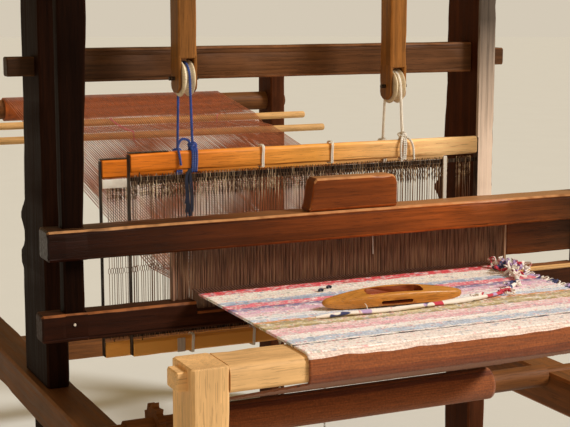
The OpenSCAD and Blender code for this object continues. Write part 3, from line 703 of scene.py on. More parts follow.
def settle(obj, body, replaces=()):
    """Hides the imported parts that a finished piece stands for, and hangs it on what it rides on.
    """
    if replaces:
        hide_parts(*replaces)
    if body:
        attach(obj, body)
    return obj


def timber(seed, name, body, finish, node, planks, slot=None):
    """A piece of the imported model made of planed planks."""
    shape = Shape(seed, bpy.context.scene.loom_timber.hewn)
    for plank in planks:
        shape.plank(*plank)
    return shape.done(name, body, finish, [node], slot)


def strands(seed, name, body, finish, paths, radius, sides=5, flat=1.0, slot=None):
    """A piece made of single strands."""
    shape = Shape(seed)
    for path in paths:
        shape.tube(path, radius, sides, flat=flat)
    return shape.done(name, body, finish, slot=slot)


def recoat(finish, *nodes):
    """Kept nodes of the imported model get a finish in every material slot."""
    for node in nodes:
        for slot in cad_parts[node].material_slots:
            slot.material = finish_of(finish)


def evaluated_mesh(obj, **settings):
    """Gives an object the mesh that its modifiers make, and takes the modifiers off."""
    depsgraph = bpy.context.evaluated_depsgraph_get()
    made = bpy.data.meshes.new_from_object(obj.evaluated_get(depsgraph), depsgraph=depsgraph,
                                           **settings)
    obj.modifiers.clear()
    obj.data = made
    return made


# ---------------------------------------------------------------- rows


def row_tree():
    """Geometry nodes that set copies of a template in a row, each a little out of true."""
    if "row_of_pieces" in bpy.data.node_groups:
        return bpy.data.node_groups["row_of_pieces"]
    tree = bpy.data.node_groups.new("row_of_pieces", "GeometryNodeTree")
    for name, kind in (("Geometry", "Geometry"), ("Template", "Object"), ("Count", "Int"),
                       ("Start", "Vector"), ("Step", "Vector"), ("Shift", "Vector"),
                       ("Turn", "Vector"), ("Seed", "Int"), ("Finish", "Material")):
        tree.interface.new_socket(name, in_out="INPUT", socket_type="NodeSocket" + kind)
    tree.interface.new_socket("Geometry", in_out="OUTPUT", socket_type="NodeSocketGeometry")
    given = put(tree, "NodeGroupInput").outputs

    def within(limit, seed_step):
        low = put(tree, "ShaderNodeVectorMath", {0: limit, "Scale": -1.0}, operation="SCALE")
        seed = put(tree, "ShaderNodeMath", {0: given["Seed"], 1: seed_step}, operation="ADD")
        return put(tree, "FunctionNodeRandomValue", {
            "Min": low.outputs[0], "Max": limit, "Seed": seed.outputs[0]},
            data_type="FLOAT_VECTOR").outputs["Value"]

    line = put(tree, "GeometryNodeMeshLine", {
        "Count": given["Count"], "Start Location": given["Start"], "Offset": given["Step"]})
    moved = put(tree, "GeometryNodeSetPosition", {
        "Geometry": line.outputs["Mesh"], "Offset": within(given["Shift"], 0.0)})
    one = put(tree, "GeometryNodeObjectInfo", {"Object": given["Template"]})
    copies = put(tree, "GeometryNodeInstanceOnPoints", {
        "Points": moved.outputs[0], "Instance": one.outputs["Geometry"],
        "Rotation": within(given["Turn"], 7.0)})
    real = put(tree, "GeometryNodeRealizeInstances", {"Geometry": copies.outputs[0]})
    coated = put(tree, "GeometryNodeSetMaterial", {
        "Geometry": real.outputs[0], "Material": given["Finish"]})
    put(tree, "NodeGroupOutput", {"Geometry": coated.outputs[0]})
    return tree


def row(name, shape, count, start, step, finish, shift, seed, turn=(0, 0, 0), sharp=SHARP):
    """An object made of copies of a shape; start is a point of the frame, the rest is in
    metres and radians. Each copy strays by up to shift and turn."""
    template = new_object(name + "_template", shape.mesh(name + "_template", finish, False, sharp))
    host = new_object(name, bpy.data.meshes.new(name))
    tree = row_tree()
    modifier = host.modifiers.new("row", "NODES")
    modifier.node_group = tree
    values = {"Template": template, "Count": count, "Start": start, "Step": step, "Shift": shift,
              "Turn": turn, "Seed": seed, "Finish": finish_of(finish)}
    for item in tree.interface.items_tree:
        if item.in_out == "INPUT" and item.name in values:
            value = values[item.name]
            modifier[item.identifier] = (list(value) if isinstance(value, (tuple, Vector))
                                         else value)
    evaluated_mesh(host, preserve_all_data_layers=True).name = name
    bpy.data.objects.remove(template)
    return host


def joined(name, *objects):
    """One object from several with the same finish, at the origin."""
    bm = bmesh.new()
    mesh = bpy.data.meshes.new(name)
    mesh.materials.append(objects[0].data.materials[0])
    for obj in objects:
        bm.from_mesh(obj.data)
        bpy.data.objects.remove(obj)
    for face in bm.faces:
        face.material_index = 0
    bm.to_mesh(mesh)
    bm.free()
    return new_object(name, mesh)


# ---------------------------------------------------------------- operators


class LOOM_OT_stage(bpy.types.Operator):
    """Pale floor, soft lamps and the camera"""
    bl_idname = "loom.stage"
    bl_label = "Stage"

    def execute(self, context):
        scene, settings = context.scene, context.scene.loom_stage
        coat = Finish("matt_pale_floor")
        mottle = coat.ramp(coat.noise(coat.place, 3.0, 4.0), [
            (0.3, toned(settings.floor, 0.99)), (0.7, toned(settings.floor, 1.01))])
        bm = bmesh.new()
        bmesh.ops.create_circle(bm, cap_ends=True, segments=96, radius=FLOOR_RADIUS)
        mesh = bpy.data.meshes.new("floor")
        bm.to_mesh(mesh)
        bm.free()
        mesh.materials.append(coat.done(mottle, 0.85))
        new_object("floor", mesh)

        scene.world = scene.world or bpy.data.worlds.new("studio")
        scene.world.use_nodes = True
        sky = scene.world.node_tree
        seen = put(sky, "ShaderNodeMix", {
            "Factor": put(sky, "ShaderNodeLightPath").outputs["Is Camera Ray"],
            "A": opaque(settings.air), "B": opaque(settings.backdrop)}, data_type="RGBA")
        plug(sky, sky.nodes["Background"], {"Color": seen.outputs["Result"]})

        # Each lamp's last entry is the setting that makes its shadows soft
        for name, kind, power, colour, place, aim, soft in (
                ("key_lamp", "SUN", settings.key, (1.0, 0.96, 0.91), (3.0, -2.6, 3.05),
                 (0.0, 0.0, 0.0), ("angle", math.radians(16))),
                ("fill_lamp", "AREA", settings.fill, (1.0, 0.8, 0.58), (-2.6, -4.2, 2.6),
                 (0.0, -0.2, 0.8), ("size", 3.0))):
            lamp = bpy.data.lights.new(name, kind)
            lamp.energy = power
            lamp.color = colour
            setattr(lamp, *soft)
            obj = new_object(name, lamp)
            obj.location = place
            obj.rotation_euler = (Vector(aim) - Vector(place)).to_track_quat("-Z", "Y").to_euler()

        lens = bpy.data.cameras.new("camera")
        lens.lens = CAMERA_LENS
        lens.sensor_width = CAMERA_SENSOR
        lens.sensor_fit = "HORIZONTAL"
        scene.camera = new_object("camera", lens)
        scene.camera.location = CAMERA_PLACE
        scene.camera.rotation_euler = CAMERA_TURN
        scene.view_settings.view_transform = "Standard"
        return {"FINISHED"}


class LOOM_OT_frame(bpy.types.Operator):
    """Side beams, posts, uprights, rails and arms"""
    bl_idname = "loom.frame"
    bl_label = "Frame timbers"

    def execute(self, context):
        # The uprights' back edge follows the board's natural line above its carved shoulder
        edge = [(500, 183), (724, 183), (736, 195), (748, 198), (762, 195), (776, 175), (788, 163),
                (810, 163), (824, 177), (834, 189), (846, 189), (862, 173), (878, 156), (910, 152),
                (1090, 140), (1720, 140)]
        # The right upright takes a lit copy of the dark pine, with painted light on its front
        for (side, sign), finish in zip(SIDES.items(), ("smoked_pine", "window_side_pine")):
            timber(10 + sign, "side_beam_" + side, "frame", "oiled_pine", side + "_side_beam", [
                ("y", (-720, 1170), mirrored(sign, 476, 556), (420, 500), 5),
                ("y", (-850, -712), mirrored(sign, 496, 512), (438, 480), 2),
                ("y", (1162, 1310), mirrored(sign, 505, 527), (438, 480), 2)])
            timber(20 + sign, "upright_" + side, "frame", finish, side + "_upright", [
                ("z", (500, 1720), None, None, 3.5, (), 26,
                 lambda z, sign=sign: (mirrored(sign, *UPRIGHT_X), (0, level(edge, z))),
                 [z for z, _ in edge[1:-1]])])
        # Pairs, given by the plank on the right side
        for seed, name, finish, node, slot, (axis, t, u, v, chamfer) in (
                (31, "front_post_pair", "hand_worn_pine", "front_posts", "brown_timber",
                 ("z", (0, 747), (465, 528), (-812, -720), 4)),
                (32, "rear_post_pair", "smoked_pine", "rear_posts", None,
                 ("z", (0, 1105), UPRIGHT_X, (1170, 1270), 4)),
                (33, "middle_leg_pair", "smoked_pine", "middle_legs", None,
                 ("z", (0, 420), UPRIGHT_X, (10, 120), 4)),
                (34, "top_arm_pair", "smoked_pine", "top_arms", None,
                 ("y", (-370, 190), (444, 492), (1620, 1690), 5))):
            timber(seed, name, "frame", finish, node, [
                (axis, t, mirrored(sign, *u), v, chamfer) for sign in SIDES.values()], slot)
        timber(41, "beaded_cross_rail", "frame", "smoked_rail", "cross_rail", [
            ("x", (-492, 492), (28, 75), (1130, 1199), 3, (1137, 1184, 1192)),
            ("x", (-595, -480), (35, 70), (1144, 1184), 2.5),
            ("x", (480, 584), (35, 70), (1144, 1184), 2.5)])
        timber(42, "head_rail_beam", "frame", "smoked_pine", "head_rail", [
            ("x", (-446, 446), (135, 185), (1625, 1685), 4)])
        timber(43, "stretcher_pair", "frame", "oiled_pine", "stretchers", [
            ("x", (-466, 466), (-795, -747), (60, 130), 4),
            ("x", (-493, 493), (1195, 1245), (220, 300), 4)])
        timber(44, "harness_carrier", "frame", "smoked_pine", "harness_bar", [
            ("x", (-520, 520), (-134, -54), (1690, 1736), 5)])
        recoat("pine_along_x", "frame_pegs")
        return {"FINISHED"}


class LOOM_OT_breast_beam(bpy.types.Operator):
    """Pale beam at the front that the rug runs over"""
    bl_idname = "loom.breast_beam"
    bl_label = "Breast beam"

    def execute(self, context):
        quarter = [i * math.pi / 12 for i in range(7)]
        section = [(-722, 744, 1), (-722, 738, 0), (-722, 711, 0), (-722, 705, 1), (-725, 702, 1),
                   (-731, 702, 0), (-792, 702, 0)]
        (y1, z1, r1), (y2, z2, r2) = NOSE_LOW, NOSE_TOP
        section += [(y1 - r1 * math.sin(a), z1 - r1 * math.cos(a), 0.6) for a in quarter]
        section += [(y2 - r2 * math.cos(a), z2 + r2 * math.sin(a), 0.6) for a in quarter]
        section += [(-790, 747, 0), (-731, 747, 0), (-725, 747, 1)]
        beam = Shape(51, context.scene.loom_timber.hewn)
        beam.loft("x", [(-465 + 930 * i / 28, section) for i in range(29)])
        for tenon in ((-545, -455), (455, 545)):
            beam.plank("x", tenon, (-790, -745), (708, 740), 2)
        beam.done("breast_beam_board", "frame", "hand_worn_pine", ["breast_beam"])
        return {"FINISHED"}


class LOOM_OT_pulleys(bpy.types.Operator):
    """Hangers, wheels and the cords that carry the shafts"""
    bl_idname = "loom.pulleys"
    bl_label = "Pulleys and cords"

    def execute(self, context):
        for number, (side, (x, axle)) in enumerate(WHEELS.items()):
            def cheek(low, high, axle=axle):
                """One side of the slot, round below the axle"""
                def section(z):
                    half = min(24.5, math.sqrt(max(1.0, 900 - min(0, z - axle) ** 2)))
                    return (low, high), (WHEEL_Y - half, WHEEL_Y + half)
                return ("z", (axle - 29, axle + 46), None, None, 1.5, (), 8, section, (), 1)

            timber(60 + number, side + "_slotted_hanger", "frame", "oiled_hanger_wood",
                   side + "_hanger", [
                       ("z", (axle + 40, 1780), (x - 20, x + 20), (-118.5, -69.5), 3),
                       cheek(x - 20, x - 13.5), cheek(x + 13.5, x + 20)])
            wheel = Shape(70 + number)
            groove = [(12.3, 34.5), (11.3, 36.4), (10.3, 37), (9, 36.6), (7, 34), (5, 31.4),
                      (3, 30.2)]
            profile = [(-t, r) for t, r in groove] + [(0, 30)] + groove[::-1]
            wheel.rod("x", (WHEEL_Y, axle), [(x + t, r) for t, r in profile], 40)
            for sign in SIDES.values():
                hub = [(x + sign * 12.2, 9), (x + sign * 13.2, 8.4)]
                wheel.rod("x", (WHEEL_Y, axle), hub, 20)
            wheel.done(side + "_turned_wheel", side + "_wheel", "turned_limewood",
                       [side + "_wheel"])

            twine, thick = TWINES[side]
            over = Shape(80 + number)
            over.rope([(x, WHEEL_Y + CORD_RUN * math.cos(a), axle + CORD_RUN * math.sin(a))
                       for a in (math.pi * i / 40 for i in range(41))], 2.7)
            over.done(side + "_twine_over_wheel", "frame", twine, [side + "_cord_over"])
            for shaft, sign in (("front", -1), ("back", 1)):
                top = (x, WHEEL_Y + sign * CORD_RUN, axle)
                foot = (x, SHAFTS[shaft][0], BAR_TOP[1] + SHAFTS[shaft][1])
                drop = Shape(90 + number)
                drop.rope(straight(top, foot, 44), thick)
                obj = drop.done(side + "_twine_to_" + shaft + "_shaft", None, twine,
                                [side + "_cord_" + shaft])
                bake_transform(obj)
        recoat("iron", "pulley_pins", "pawl_pins", "warp_pawl", "cloth_pawl")
        recoat("birch_along_x", "hanger_pegs")
        self.knots()
        return {"FINISHED"}

    def knots(self):
        """Turns, knots and tails where the cords hold the shafts' top bars"""
        turn = [(-1, -11.5, -41), (0, -12, -20), (0, -11, 1), (1, 0, 3), (1, 11, 1), (2, 12, -20),
                (1, 11, -41), (0, 0, -42), (-1, -11.5, -41)]
        knot = [(-5, -3, 4), (4, -8, 8), (6, 4, 13), (-5, 7, 11), (-6, -5, 7), (3, -4, 16)]
        for shaft, (y, drop, *_) in SHAFTS.items():
            top = BAR_TOP[1] + drop
            blue, cream = Shape(101), Shape(102)
            for shape, (x, _), turns in ((blue, WHEELS["left"], 3), (cream, WHEELS["right"], 2)):
                for k in range(turns):
                    at = (x + (k - (turns - 1) / 2) * 4.6, y, top)
                    shape.rope(smooth_path(turn, 5, at), 2.8, sides=4)
                shape.rope(smooth_path(knot, 6, (x, y, top)), 3.2, sides=4)
            if shaft == "front":
                for shape, tail in (
                        (blue, [(-268, 2, 1006), (-278, -4, 1020), (-292, -6, 1023),
                                (-301, -8, 1010), (-299, -12, 990), (-297, -13, 972)]),
                        (cream, [(218, -6, 1006), (226, -14, 1000), (233, -15, 985),
                                 (236, -15, 958)]),
                        (cream, [(212, -6, 1006), (205, -14, 998), (203, -15, 980),
                                 (205, -14, 955)])):
                    shape.rope(smooth_path(tail, 7, (0, y, 0)), 2.8)
            blue.done("blue_lashing_" + shaft, shaft + "_shaft", "blue_twine")
            cream.done("cream_lashing_" + shaft, shaft + "_shaft", "cream_twine")
        # A hank of dark wool tied to the front shaft hangs in front of the heddles
        wool = Shape(103)
        rng = random.Random(12)
        for _ in range(16):
            x = -281 + rng.uniform(-5, 7)
            y = SHAFTS["front"][0] - 14 + rng.uniform(-3, 1)
            low = rng.uniform(862, 905)
            path = [(-277 + rng.uniform(-2, 2), y + 2, 964), (x - 2, y, 948),
                    (x + rng.uniform(-3, 3), y - 1, 915), (x + rng.uniform(-4, 4), y, low)]
            wool.tube(smooth_path(path, 5), 1.7, 4)
        wool.done("dark_wool_hank", "front_shaft", "navy_wool")


class LOOM_OT_shafts(bpy.types.Operator):
    """The two shafts: bars, irons, rods and heddles"""
    bl_idname = "loom.shafts"
    bl_label = "Shafts and heddles"

    def execute(self, context):
        harness = context.scene.loom_harness
        pitch = 2 * CLOTH_HALF / harness.heddles
        # Heddles that the warp doesn't use are pushed to both ends of the rods
        spares = (((-394, 11), (353, 8)), ((-417, 13), (345, 4)))
        for number, (shaft, (y, drop, shift, eye)) in enumerate(SHAFTS.items()):
            body = shaft + "_shaft"
            timber(110 + number, body + "_rails", body, "oiled_birch", body + "_bars", [
                ("x", (shift - BAR_HALF, shift + BAR_HALF), (y - BAR_DEPTH, y + BAR_DEPTH),
                 (low + drop, high + drop), 4, (), 30) for low, high in (BAR_TOP, BAR_LOW)])

            irons = Shape(120 + number)
            for sign in SIDES.values():
                x = shift + sign * (BAR_HALF + 1.1)
                irons.plank("z", (592 + drop, 997 + drop), (x - 1.1, x + 1.1), (y - 8, y + 8), 0.5,
                            bevel=0.8, step=60)
                for z in (604, 985):
                    irons.rod("x", (y, z + drop), [(x - 1, 3.4), (x + sign * 1.3, 3.2)], 12)
            for z in (ROD_TOP, ROD_LOW):
                irons.plank("x", (-402 + shift, 402 + shift), (y - 1, y + 1),
                            (z - 4 + drop, z + 4 + drop), 0.4, bevel=0.8, step=80)
            for x in (-379, -119.3, 46.7, 379):
                for rod, bar, way in ((ROD_TOP, BAR_TOP[0], 1), (ROD_LOW, BAR_LOW[1], -1)):
                    hook = [(x, -3.2, rod + way * 2), (x, 0, rod - way * 6),
                            (x, 3.2, rod + way * 2), (x, 0, bar + way * 3)]
                    irons.tube(smooth_path(hook, 4, (shift, y, drop)), 1.2)
            # The left end iron is bent over the top of the rail
            irons.plank("x", (-403 + shift, -320 + shift), (y - 7, y + 7),
                        (999.6 + drop, 1001.4 + drop), 0.5, bevel=0.6, step=30)
            irons.done(body + "_ironwork", body, "iron", [body + "_irons"])

            heddle = self.heddle(eye - drop, harness.wire * 1000)
            first = -CLOTH_HALF + pitch * (0.25, 0.75)[number]
            wires = row(shaft + "_row", heddle, harness.heddles, mm(first, y, drop),
                        (pitch / 1000, 0, 0), "heddle_wire", shift=(0.0006, 0.0005, 0.0005),
                        turn=(0, 0.0008, 0.5), seed=130 + number)
            rows = [row("spare", self.heddle(eye - drop, harness.wire * 1000), count,
                        mm(x, y, drop), (0.0048, 0, 0), "heddle_wire",
                        shift=(0.0013, 0.0005, 0.0005), turn=(0, 0.001, 0.6), seed=135 + number)
                    for x, count in spares[number]]
            settle(joined(shaft + "_wire_heddles", wires, *rows), body, [shaft + "_heddles"])
        self.trimmings()
        return {"FINISHED"}

    def heddle(self, eye, wire):
        """One twisted wire heddle: a loop round each rod, a twisted neck and an eye"""
        shape = Shape(140)
        for rod, way in ((ROD_TOP, 1), (ROD_LOW, -1)):
            near = rod - way * 9
            loop = [(0, -1, near), (0, -3.4, rod - way * 2), (0, -2.6, rod + way * 6),
                    (0, 0, rod + way * 8.5), (0, 2.6, rod + way * 6), (0, 3.4, rod - way * 2),
                    (0, 1, near)]
            shape.tube(loop, wire, 3)
            neck = straight((0, 0, near + way * 1.5), (0, 0, rod - way * 36), 6)
            shape.tube(neck, wire * 2.6, 4, twist=0.22, flat=0.55)
            shape.tube(straight((0, 0, rod - way * 33), (0, 0, eye + way * 6), 2), wire, 3)
        turns = [math.pi / 2 + i * math.pi / 3 for i in range(7)]
        shape.tube([(2.6 * math.cos(a), 0, eye + 7 * math.sin(a)) for a in turns], wire * 0.9, 3)
        return shape

    def trimmings(self):
        """Ties on the front shaft, its tin bracket, a pale rod and the strip on the back shaft"""
        y, back = SHAFTS["front"][0], SHAFTS["back"][0]
        rings = []
        for x, (low, high) in ((-119, BAR_TOP), (39, BAR_TOP), (-276, BAR_LOW),
                               (-140.5, BAR_LOW)):
            middle = (low + high) / 2
            ring = [(0, -10.4, low - 1.5), (0, -10.6, middle), (1, -10, high + 1.5),
                    (1, 10, high + 1.5), (1, 10.6, middle), (0, 10, low - 1.5),
                    (0, -10.4, low - 1.5)]
            rings += [smooth_path(ring, 4, (at, y, 0)) for at in (x, x + 3.2)]
        strands(151, "white_bar_ties", "front_shaft", "white_thread", rings, 1.5)
        for seed, name, body, finish, axis, t, u, v, chamfer, bevel, step in (
                (152, "tin_bar_bracket", "front_shaft", "rubbed_iron",
                 "x", (-308, -291), (y - 11, y - 9.2), (590, 619), 0.5, 0.6, 9),
                (153, "pale_spare_rod", "front_shaft", "white_thread",
                 "z", (700, 960), (314.5, 323.5), (y - 7.5, y - 4.5), 0.8, 0.8, 40),
                (154, "cream_cloth_strip", "back_shaft", "cream_twine",
                 "x", (-432, -372), (back - 10.5, back - 9.1), (921, 939), 0.5, 0.6, 8)):
            piece = Shape(seed)
            piece.plank(axis, t, u, v, chamfer, bevel=bevel, step=step)
            piece.done(name, body, finish)


class LOOM_OT_warp(bpy.types.Operator):
    """Warp threads, lease sticks and the warp on its beam"""
    bl_idname = "loom.warp"
    bl_label = "Warp"

    def execute(self, context):
        harness, cloth = context.scene.loom_harness, context.scene.loom_cloth
        pitch = 2 * CLOTH_HALF / harness.heddles
        (y1, z1), (y2, z2) = STICKS
        slope = (z2 - z1) / (y2 - y1)
        for number, (shaft, (shaft_y, _, _, eye_z)) in enumerate(SHAFTS.items()):
            first = -CLOTH_HALF + pitch * (0.25, 0.75)[number]
            side = (1, -1)[number]
            eye = (0, shaft_y, eye_z)
            fell = (0, FELL_Y - 4, 749.6)
            rear = straight(eye, (0, y1 - 26, z1 + side * 10.6 - 26 * slope), 14)
            rear += [(0, y1, z1 + side * 11.4), (0, (y1 + y2) / 2, (z1 + z2) / 2),
                     (0, y2, z2 - side * 11.4)]
            rear += straight((0, y2 + 40, z2 - side * 8.5 + 40 * slope), (0, *WARP_END), 4)
            for part, path, far in (("front", straight(fell, eye, 9), fell),
                                    ("rear", rear, rear[14])):
                thread = Shape(160)
                thread.tube(path, cloth.thread * 1000, 4)
                threads = row(part + "_warp_of_" + shaft + "_shaft", thread, harness.heddles,
                              Vector((first / 1000, FRONT, 0)), (pitch / 1000, 0, 0),
                              "cotton_warp", shift=(0.0004, 0, 0.0004), seed=161 + number,
                              sharp=180)
                settle(threads, None, ["warp_threads"])
                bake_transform(threads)
        sticks = Shape(170, 0.3)
        profile = [(-490, 8.4), (-487, 9.8)] + [(-460 + 40 * i, 9.9) for i in range(24)]
        for place in STICKS:
            sticks.rod("x", place, profile + [(487, 9.8), (490, 8.4)], 16)
        sticks.done("lease_stick_pair", "frame", "bare_pine", ["lease_sticks"], "honey_wood")
        strands(171, "pink_lease_ties", "frame", "pink_tape", [
            smooth_path([(-106, y2 - 10, z2 + 11), (-100, y2 - 60, z2 - 2), (-90, y1 + 20, z1 + 14),
                         (-84, y1 - 12, z1 + 11), (-82, y1 - 14, z1 - 9),
                         (-80, y1 - 30, z1 - 26)]),
            smooth_path([(212, -11, 12), (208, -15, -10), (214, 6, -15), (220, 16, 6)], 6,
                        (0, y2, z2))], 2.2, flat=0.6)
        roll = Shape(172)
        # Threads side by side on the beam: one ridge each
        profile = [(-CLOTH_HALF + 1.5 * i, 34.0 if i % 2 else 33.2) for i in range(443)]
        roll.rod("x", WARP_BEAM, profile, 28)
        roll.done("wound_warp", "warp_beam", "cotton_warp", ["warp_roll"], sharp=180)
        recoat("pine_along_x", "warp_beam", "cloth_beam")
        return {"FINISHED"}


class LOOM_OT_rug(bpy.types.Operator):
    """The rag rug over the breast beam, its roll and its ragged edge"""
    bl_idname = "loom.rug"
    bl_label = "Rag rug"

    def execute(self, context):
        path, gone = self.path()
        columns = 217
        wide = 2 * CLOTH_HALF / (columns - 1)
        verts, weave = [], []
        for (y, z, ny, nz), along in zip(path, gone):
            for i in range(columns):
                x = -CLOTH_HALF + wide * i
                height = self.height(i, along)
                lump = noise.noise(Vector((x * 0.05, along * 0.16, 3.0)))
                ragged = 0.0
                if i in (0, columns - 1):
                    fray = noise.noise(Vector((along * 0.3, x, 0)))
                    ragged = math.copysign(1.6 + 1.8 * fray, x)
                up = RUG_T - 0.9 + 1.1 * height + 0.7 * lump
                verts.append((x + ragged, y + ny * up, z + nz * up))
                weave.append((x / 1000, along / 1000, height))
            for share in (1.0, 0.6, 0.2, -0.2, -0.6, -1.0):
                verts.append((share * CLOTH_HALF, y, z))
                weave.append((share * CLOTH_HALF / 1000, along / 1000, 0.6))
        ring = columns + 6
        rings = [tuple(range(a, a + ring)) for a in range(0, len(verts), ring)]
        faces = [f for low, high in zip(rings, rings[1:]) for f in quads(low, high)]
        faces += [rings[0][::-1], rings[-1]]
        rug = settle(self.cloth("rag_rug", verts, faces, weave), "frame", ["rug"])
        self.fringe()
        self.roll()
        return {"FINISHED"}

    def height(self, column, along):
        """Plain weave: each pick is a ridge, pressed down under every other pair of threads"""
        turn = along / PICK
        ridge = 0.5 - 0.5 * math.cos(2 * math.pi * turn)
        over = 0.5 + 0.5 * math.cos(math.pi * (column + math.floor(turn)))
        return ridge * (0.5 + 0.5 * over)

    def path(self):
        """The rug's underside from the fell to its roll: (y, z) and the way out, with the
        distance along it"""
        points = [(FELL_Y - 2.3 * i, RUG_BASE, 0.0, 1.0) for i in range(202)]
        y, z, r = NOSE_TOP
        r += RUG_GAP
        for i in range(12):
            a = math.pi / 2 * i / 11
            points.append((y - r * math.sin(a), z + r * math.cos(a), -math.sin(a), math.cos(a)))
        points += [(y - r, z - 2.33 * i, -1.0, 0.0) for i in range(1, 9)]
        y, z, r = NOSE_LOW
        r += RUG_GAP
        for i in range(1, 9):
            a = math.radians(90 - RUG_LEAN) * i / 8
            points.append((y - r * math.cos(a), z - r * math.sin(a), -math.cos(a), -math.sin(a)))
        y0, z0, ny, nz = points[-1]
        # The rug's upper side on the beam faces out; going back under it, its other side is up
        lean = math.radians(RUG_LEAN)
        y1 = CLOTH_BEAM[0] + (ROLL_RADIUS + RUG_T) * math.sin(lean)
        z1 = CLOTH_BEAM[1] + (ROLL_RADIUS + RUG_T) * math.cos(lean)
        for i in range(1, 90):
            t = i / 89
            points.append((y0 + (y1 - y0) * t, z0 + (z1 - z0) * t, ny, nz))
        gone = [0.0]
        for (a, b, *_), (c, d, *_) in zip(points, points[1:]):
            gone.append(gone[-1] + math.hypot(c - a, d - b))
        return points, gone

    def cloth(self, name, verts, faces, weave):
        mesh = bpy.data.meshes.new(name)
        mesh.from_pydata([tuple(mm(*v)) for v in verts], [], faces)
        layer = mesh.attributes.new("weave", "FLOAT_VECTOR", "POINT")
        layer.data.foreach_set("vector", [c for w in weave for c in w])
        bm = bmesh.new()
        bm.from_mesh(mesh)
        bmesh.ops.recalc_face_normals(bm, faces=bm.faces)
        bm.to_mesh(mesh)
        bm.free()
        mesh.shade_smooth()
        mesh.materials.append(finish_of("woven_rag_strips"))
        return new_object(name, mesh)

    def fringe(self):
        """Loops of weft left standing at the right selvedge"""
        loop = Shape(180)
        loop.tube(smooth_path([(-3, -4, 0), (5, -5, 1.5), (13, -2, 2.5), (12, 3, 3.0),
                               (3, 4, 2.0), (-3, 4, 0)], 3), 1.5)
        fringe = row("selvedge_loops", loop, 54, mm(CLOTH_HALF + 1, FELL_Y - 96, 748.6),
                     (0, -PICK / 1000, 0), "torn_cotton_rag", shift=(0.002, 0.001, 0.0008),
                     turn=(0.4, 0.35, 0.6), seed=181)
        return settle(fringe, "frame")

    def roll(self):
        """The woven rug wound on its beam"""
        turns, columns = 96, 111
        angles = [2 * math.pi * k / turns for k in range(turns)]
        verts, weave = [], []

        def add(x, radius, angle, pattern):
            verts.append((x, CLOTH_BEAM[0] + radius * math.cos(angle),
                          CLOTH_BEAM[1] + radius * math.sin(angle)))
            weave.append(pattern)

        # The roll's pattern starts 480 mm from the fell, in the brown stripes that paint shade
        for a in angles:
            for i in range(columns):
                x = -CLOTH_HALF + 2 * CLOTH_HALF * i / (columns - 1)
                height = 0.5 + 0.5 * math.cos(a * 31) * (1 if i % 2 else 0.7)
                add(x, 33.1 + 0.8 * height, a, (x / 1000, 0.48 + 34 * a / 1000, height))
        rows = [range(a, a + columns) for a in range(0, len(verts), columns)]
        faces = [f for low, high in zip(rows, rows[1:] + rows[:1])
                 for f in quads(low, high, False)]
        # The ends show the layers as steps
        for column, way in ((0, -1), (columns - 1, 1)):
            rim = [line[column] for line in rows]
            for layer in range(1, 5):
                inner = range(len(verts), len(verts) + turns)
                x = way * (CLOTH_HALF - (1.4 if layer % 2 else 0.0))
                for a in angles:
                    add(x, 33.4 - 2.2 * layer, a, (0.01 * layer, 0.1 * layer, 0.7))
                faces += quads(rim, inner)
                rim = inner
            faces.append(tuple(rim))
        settle(self.cloth("rolled_rug", verts, faces, weave), "cloth_beam", ["cloth_roll"])


class LOOM_OT_weft(bpy.types.Operator):
    """The rag strip in work, its tangle at the selvedge and two thin sticks"""
    bl_idname = "loom.weft"
    bl_label = "Loose weft"

    def execute(self, context):
        z = CLOTH_TOP + 5.0
        route = [(302, -372, z), (300, -430, z), (266, -506, z), (188, -576, z), (112, -605, z),
                 (20, -613, z), (-70, -619, z), (-160, -613, z), (-225, -617, z)]
        path = smooth_path(route, 9)
        rng = random.Random(5)
        swell = [rng.uniform(0.86, 1.06) for _ in range(60)]

        def radius(t):
            return 4.9 * swell[int(t * 58)] * min(1.0, 0.35 + (1 - t) * 12)

        strip = Shape(190)
        strip.tube(path, radius, 9, twist=0.02, flat=0.72)
        strip = strip.done("loose_rag_strip", "frame", "torn_cotton_rag", ["weft_strip"],
                           sharp=60)
        tangle = Shape(191)
        for _ in range(26):
            x, y = rng.uniform(298, 344), rng.uniform(-446, -372)
            points = [(x, y, CLOTH_TOP + rng.uniform(1, 6))]
            for _ in range(4):
                x += rng.uniform(-17, 17)
                y += rng.uniform(-17, 17)
                points.append((min(x, 356), y, CLOTH_TOP + rng.uniform(3, 24)))
            tangle.tube(smooth_path(points, 4), rng.uniform(2.0, 4.2), 6, twist=0.08, flat=0.45)
        for x, y, count in ((300, -462, 6), (240, -533, 5), (192, -584, 5), (118, -596, 3)):
            for _ in range(count):
                a, b = rng.uniform(-12, 12), rng.uniform(-10, 10)
                points = [(a, b, 3), (a + rng.uniform(-12, 12), b + 6, 9),
                          (-a + rng.uniform(-14, 14), -b, 6), (-a, -b - 8, 2.5)]
                tangle.tube(smooth_path(points, 4, (x, y, CLOTH_TOP)), rng.uniform(1.8, 3.4), 6,
                            twist=0.08, flat=0.45)
        knots = tangle.done("rag_tangle", "frame", "torn_cotton_rag")
        curl = [(-5, -2, 2.6), (0, 2, 3.8), (5, -1, 2.6)]
        strands(193, "navy_rag_bits", "frame", "navy_wool", [
            smooth_path(curl, 5, (*place, CLOTH_TOP)) for place in ((-90, -398), (-116, -416))],
            2.9, 7, 0.8, "rag_cloth")
        sticks = Shape(192, 0.2)
        for y, tip in ((-409, 470), (-425, 466)):
            profile = [(306, 2.4), (310, 2.9), (350, 3), (400, 3), (440, 2.9), (tip - 3, 2.7),
                       (tip, 1.8)]
            sticks.rod("x", (y, CLOTH_TOP + 3.3), profile, 10)
        sticks.done("thin_birch_sticks", "frame", "bare_pine", ["weft_sticks"])
        return {"FINISHED"}


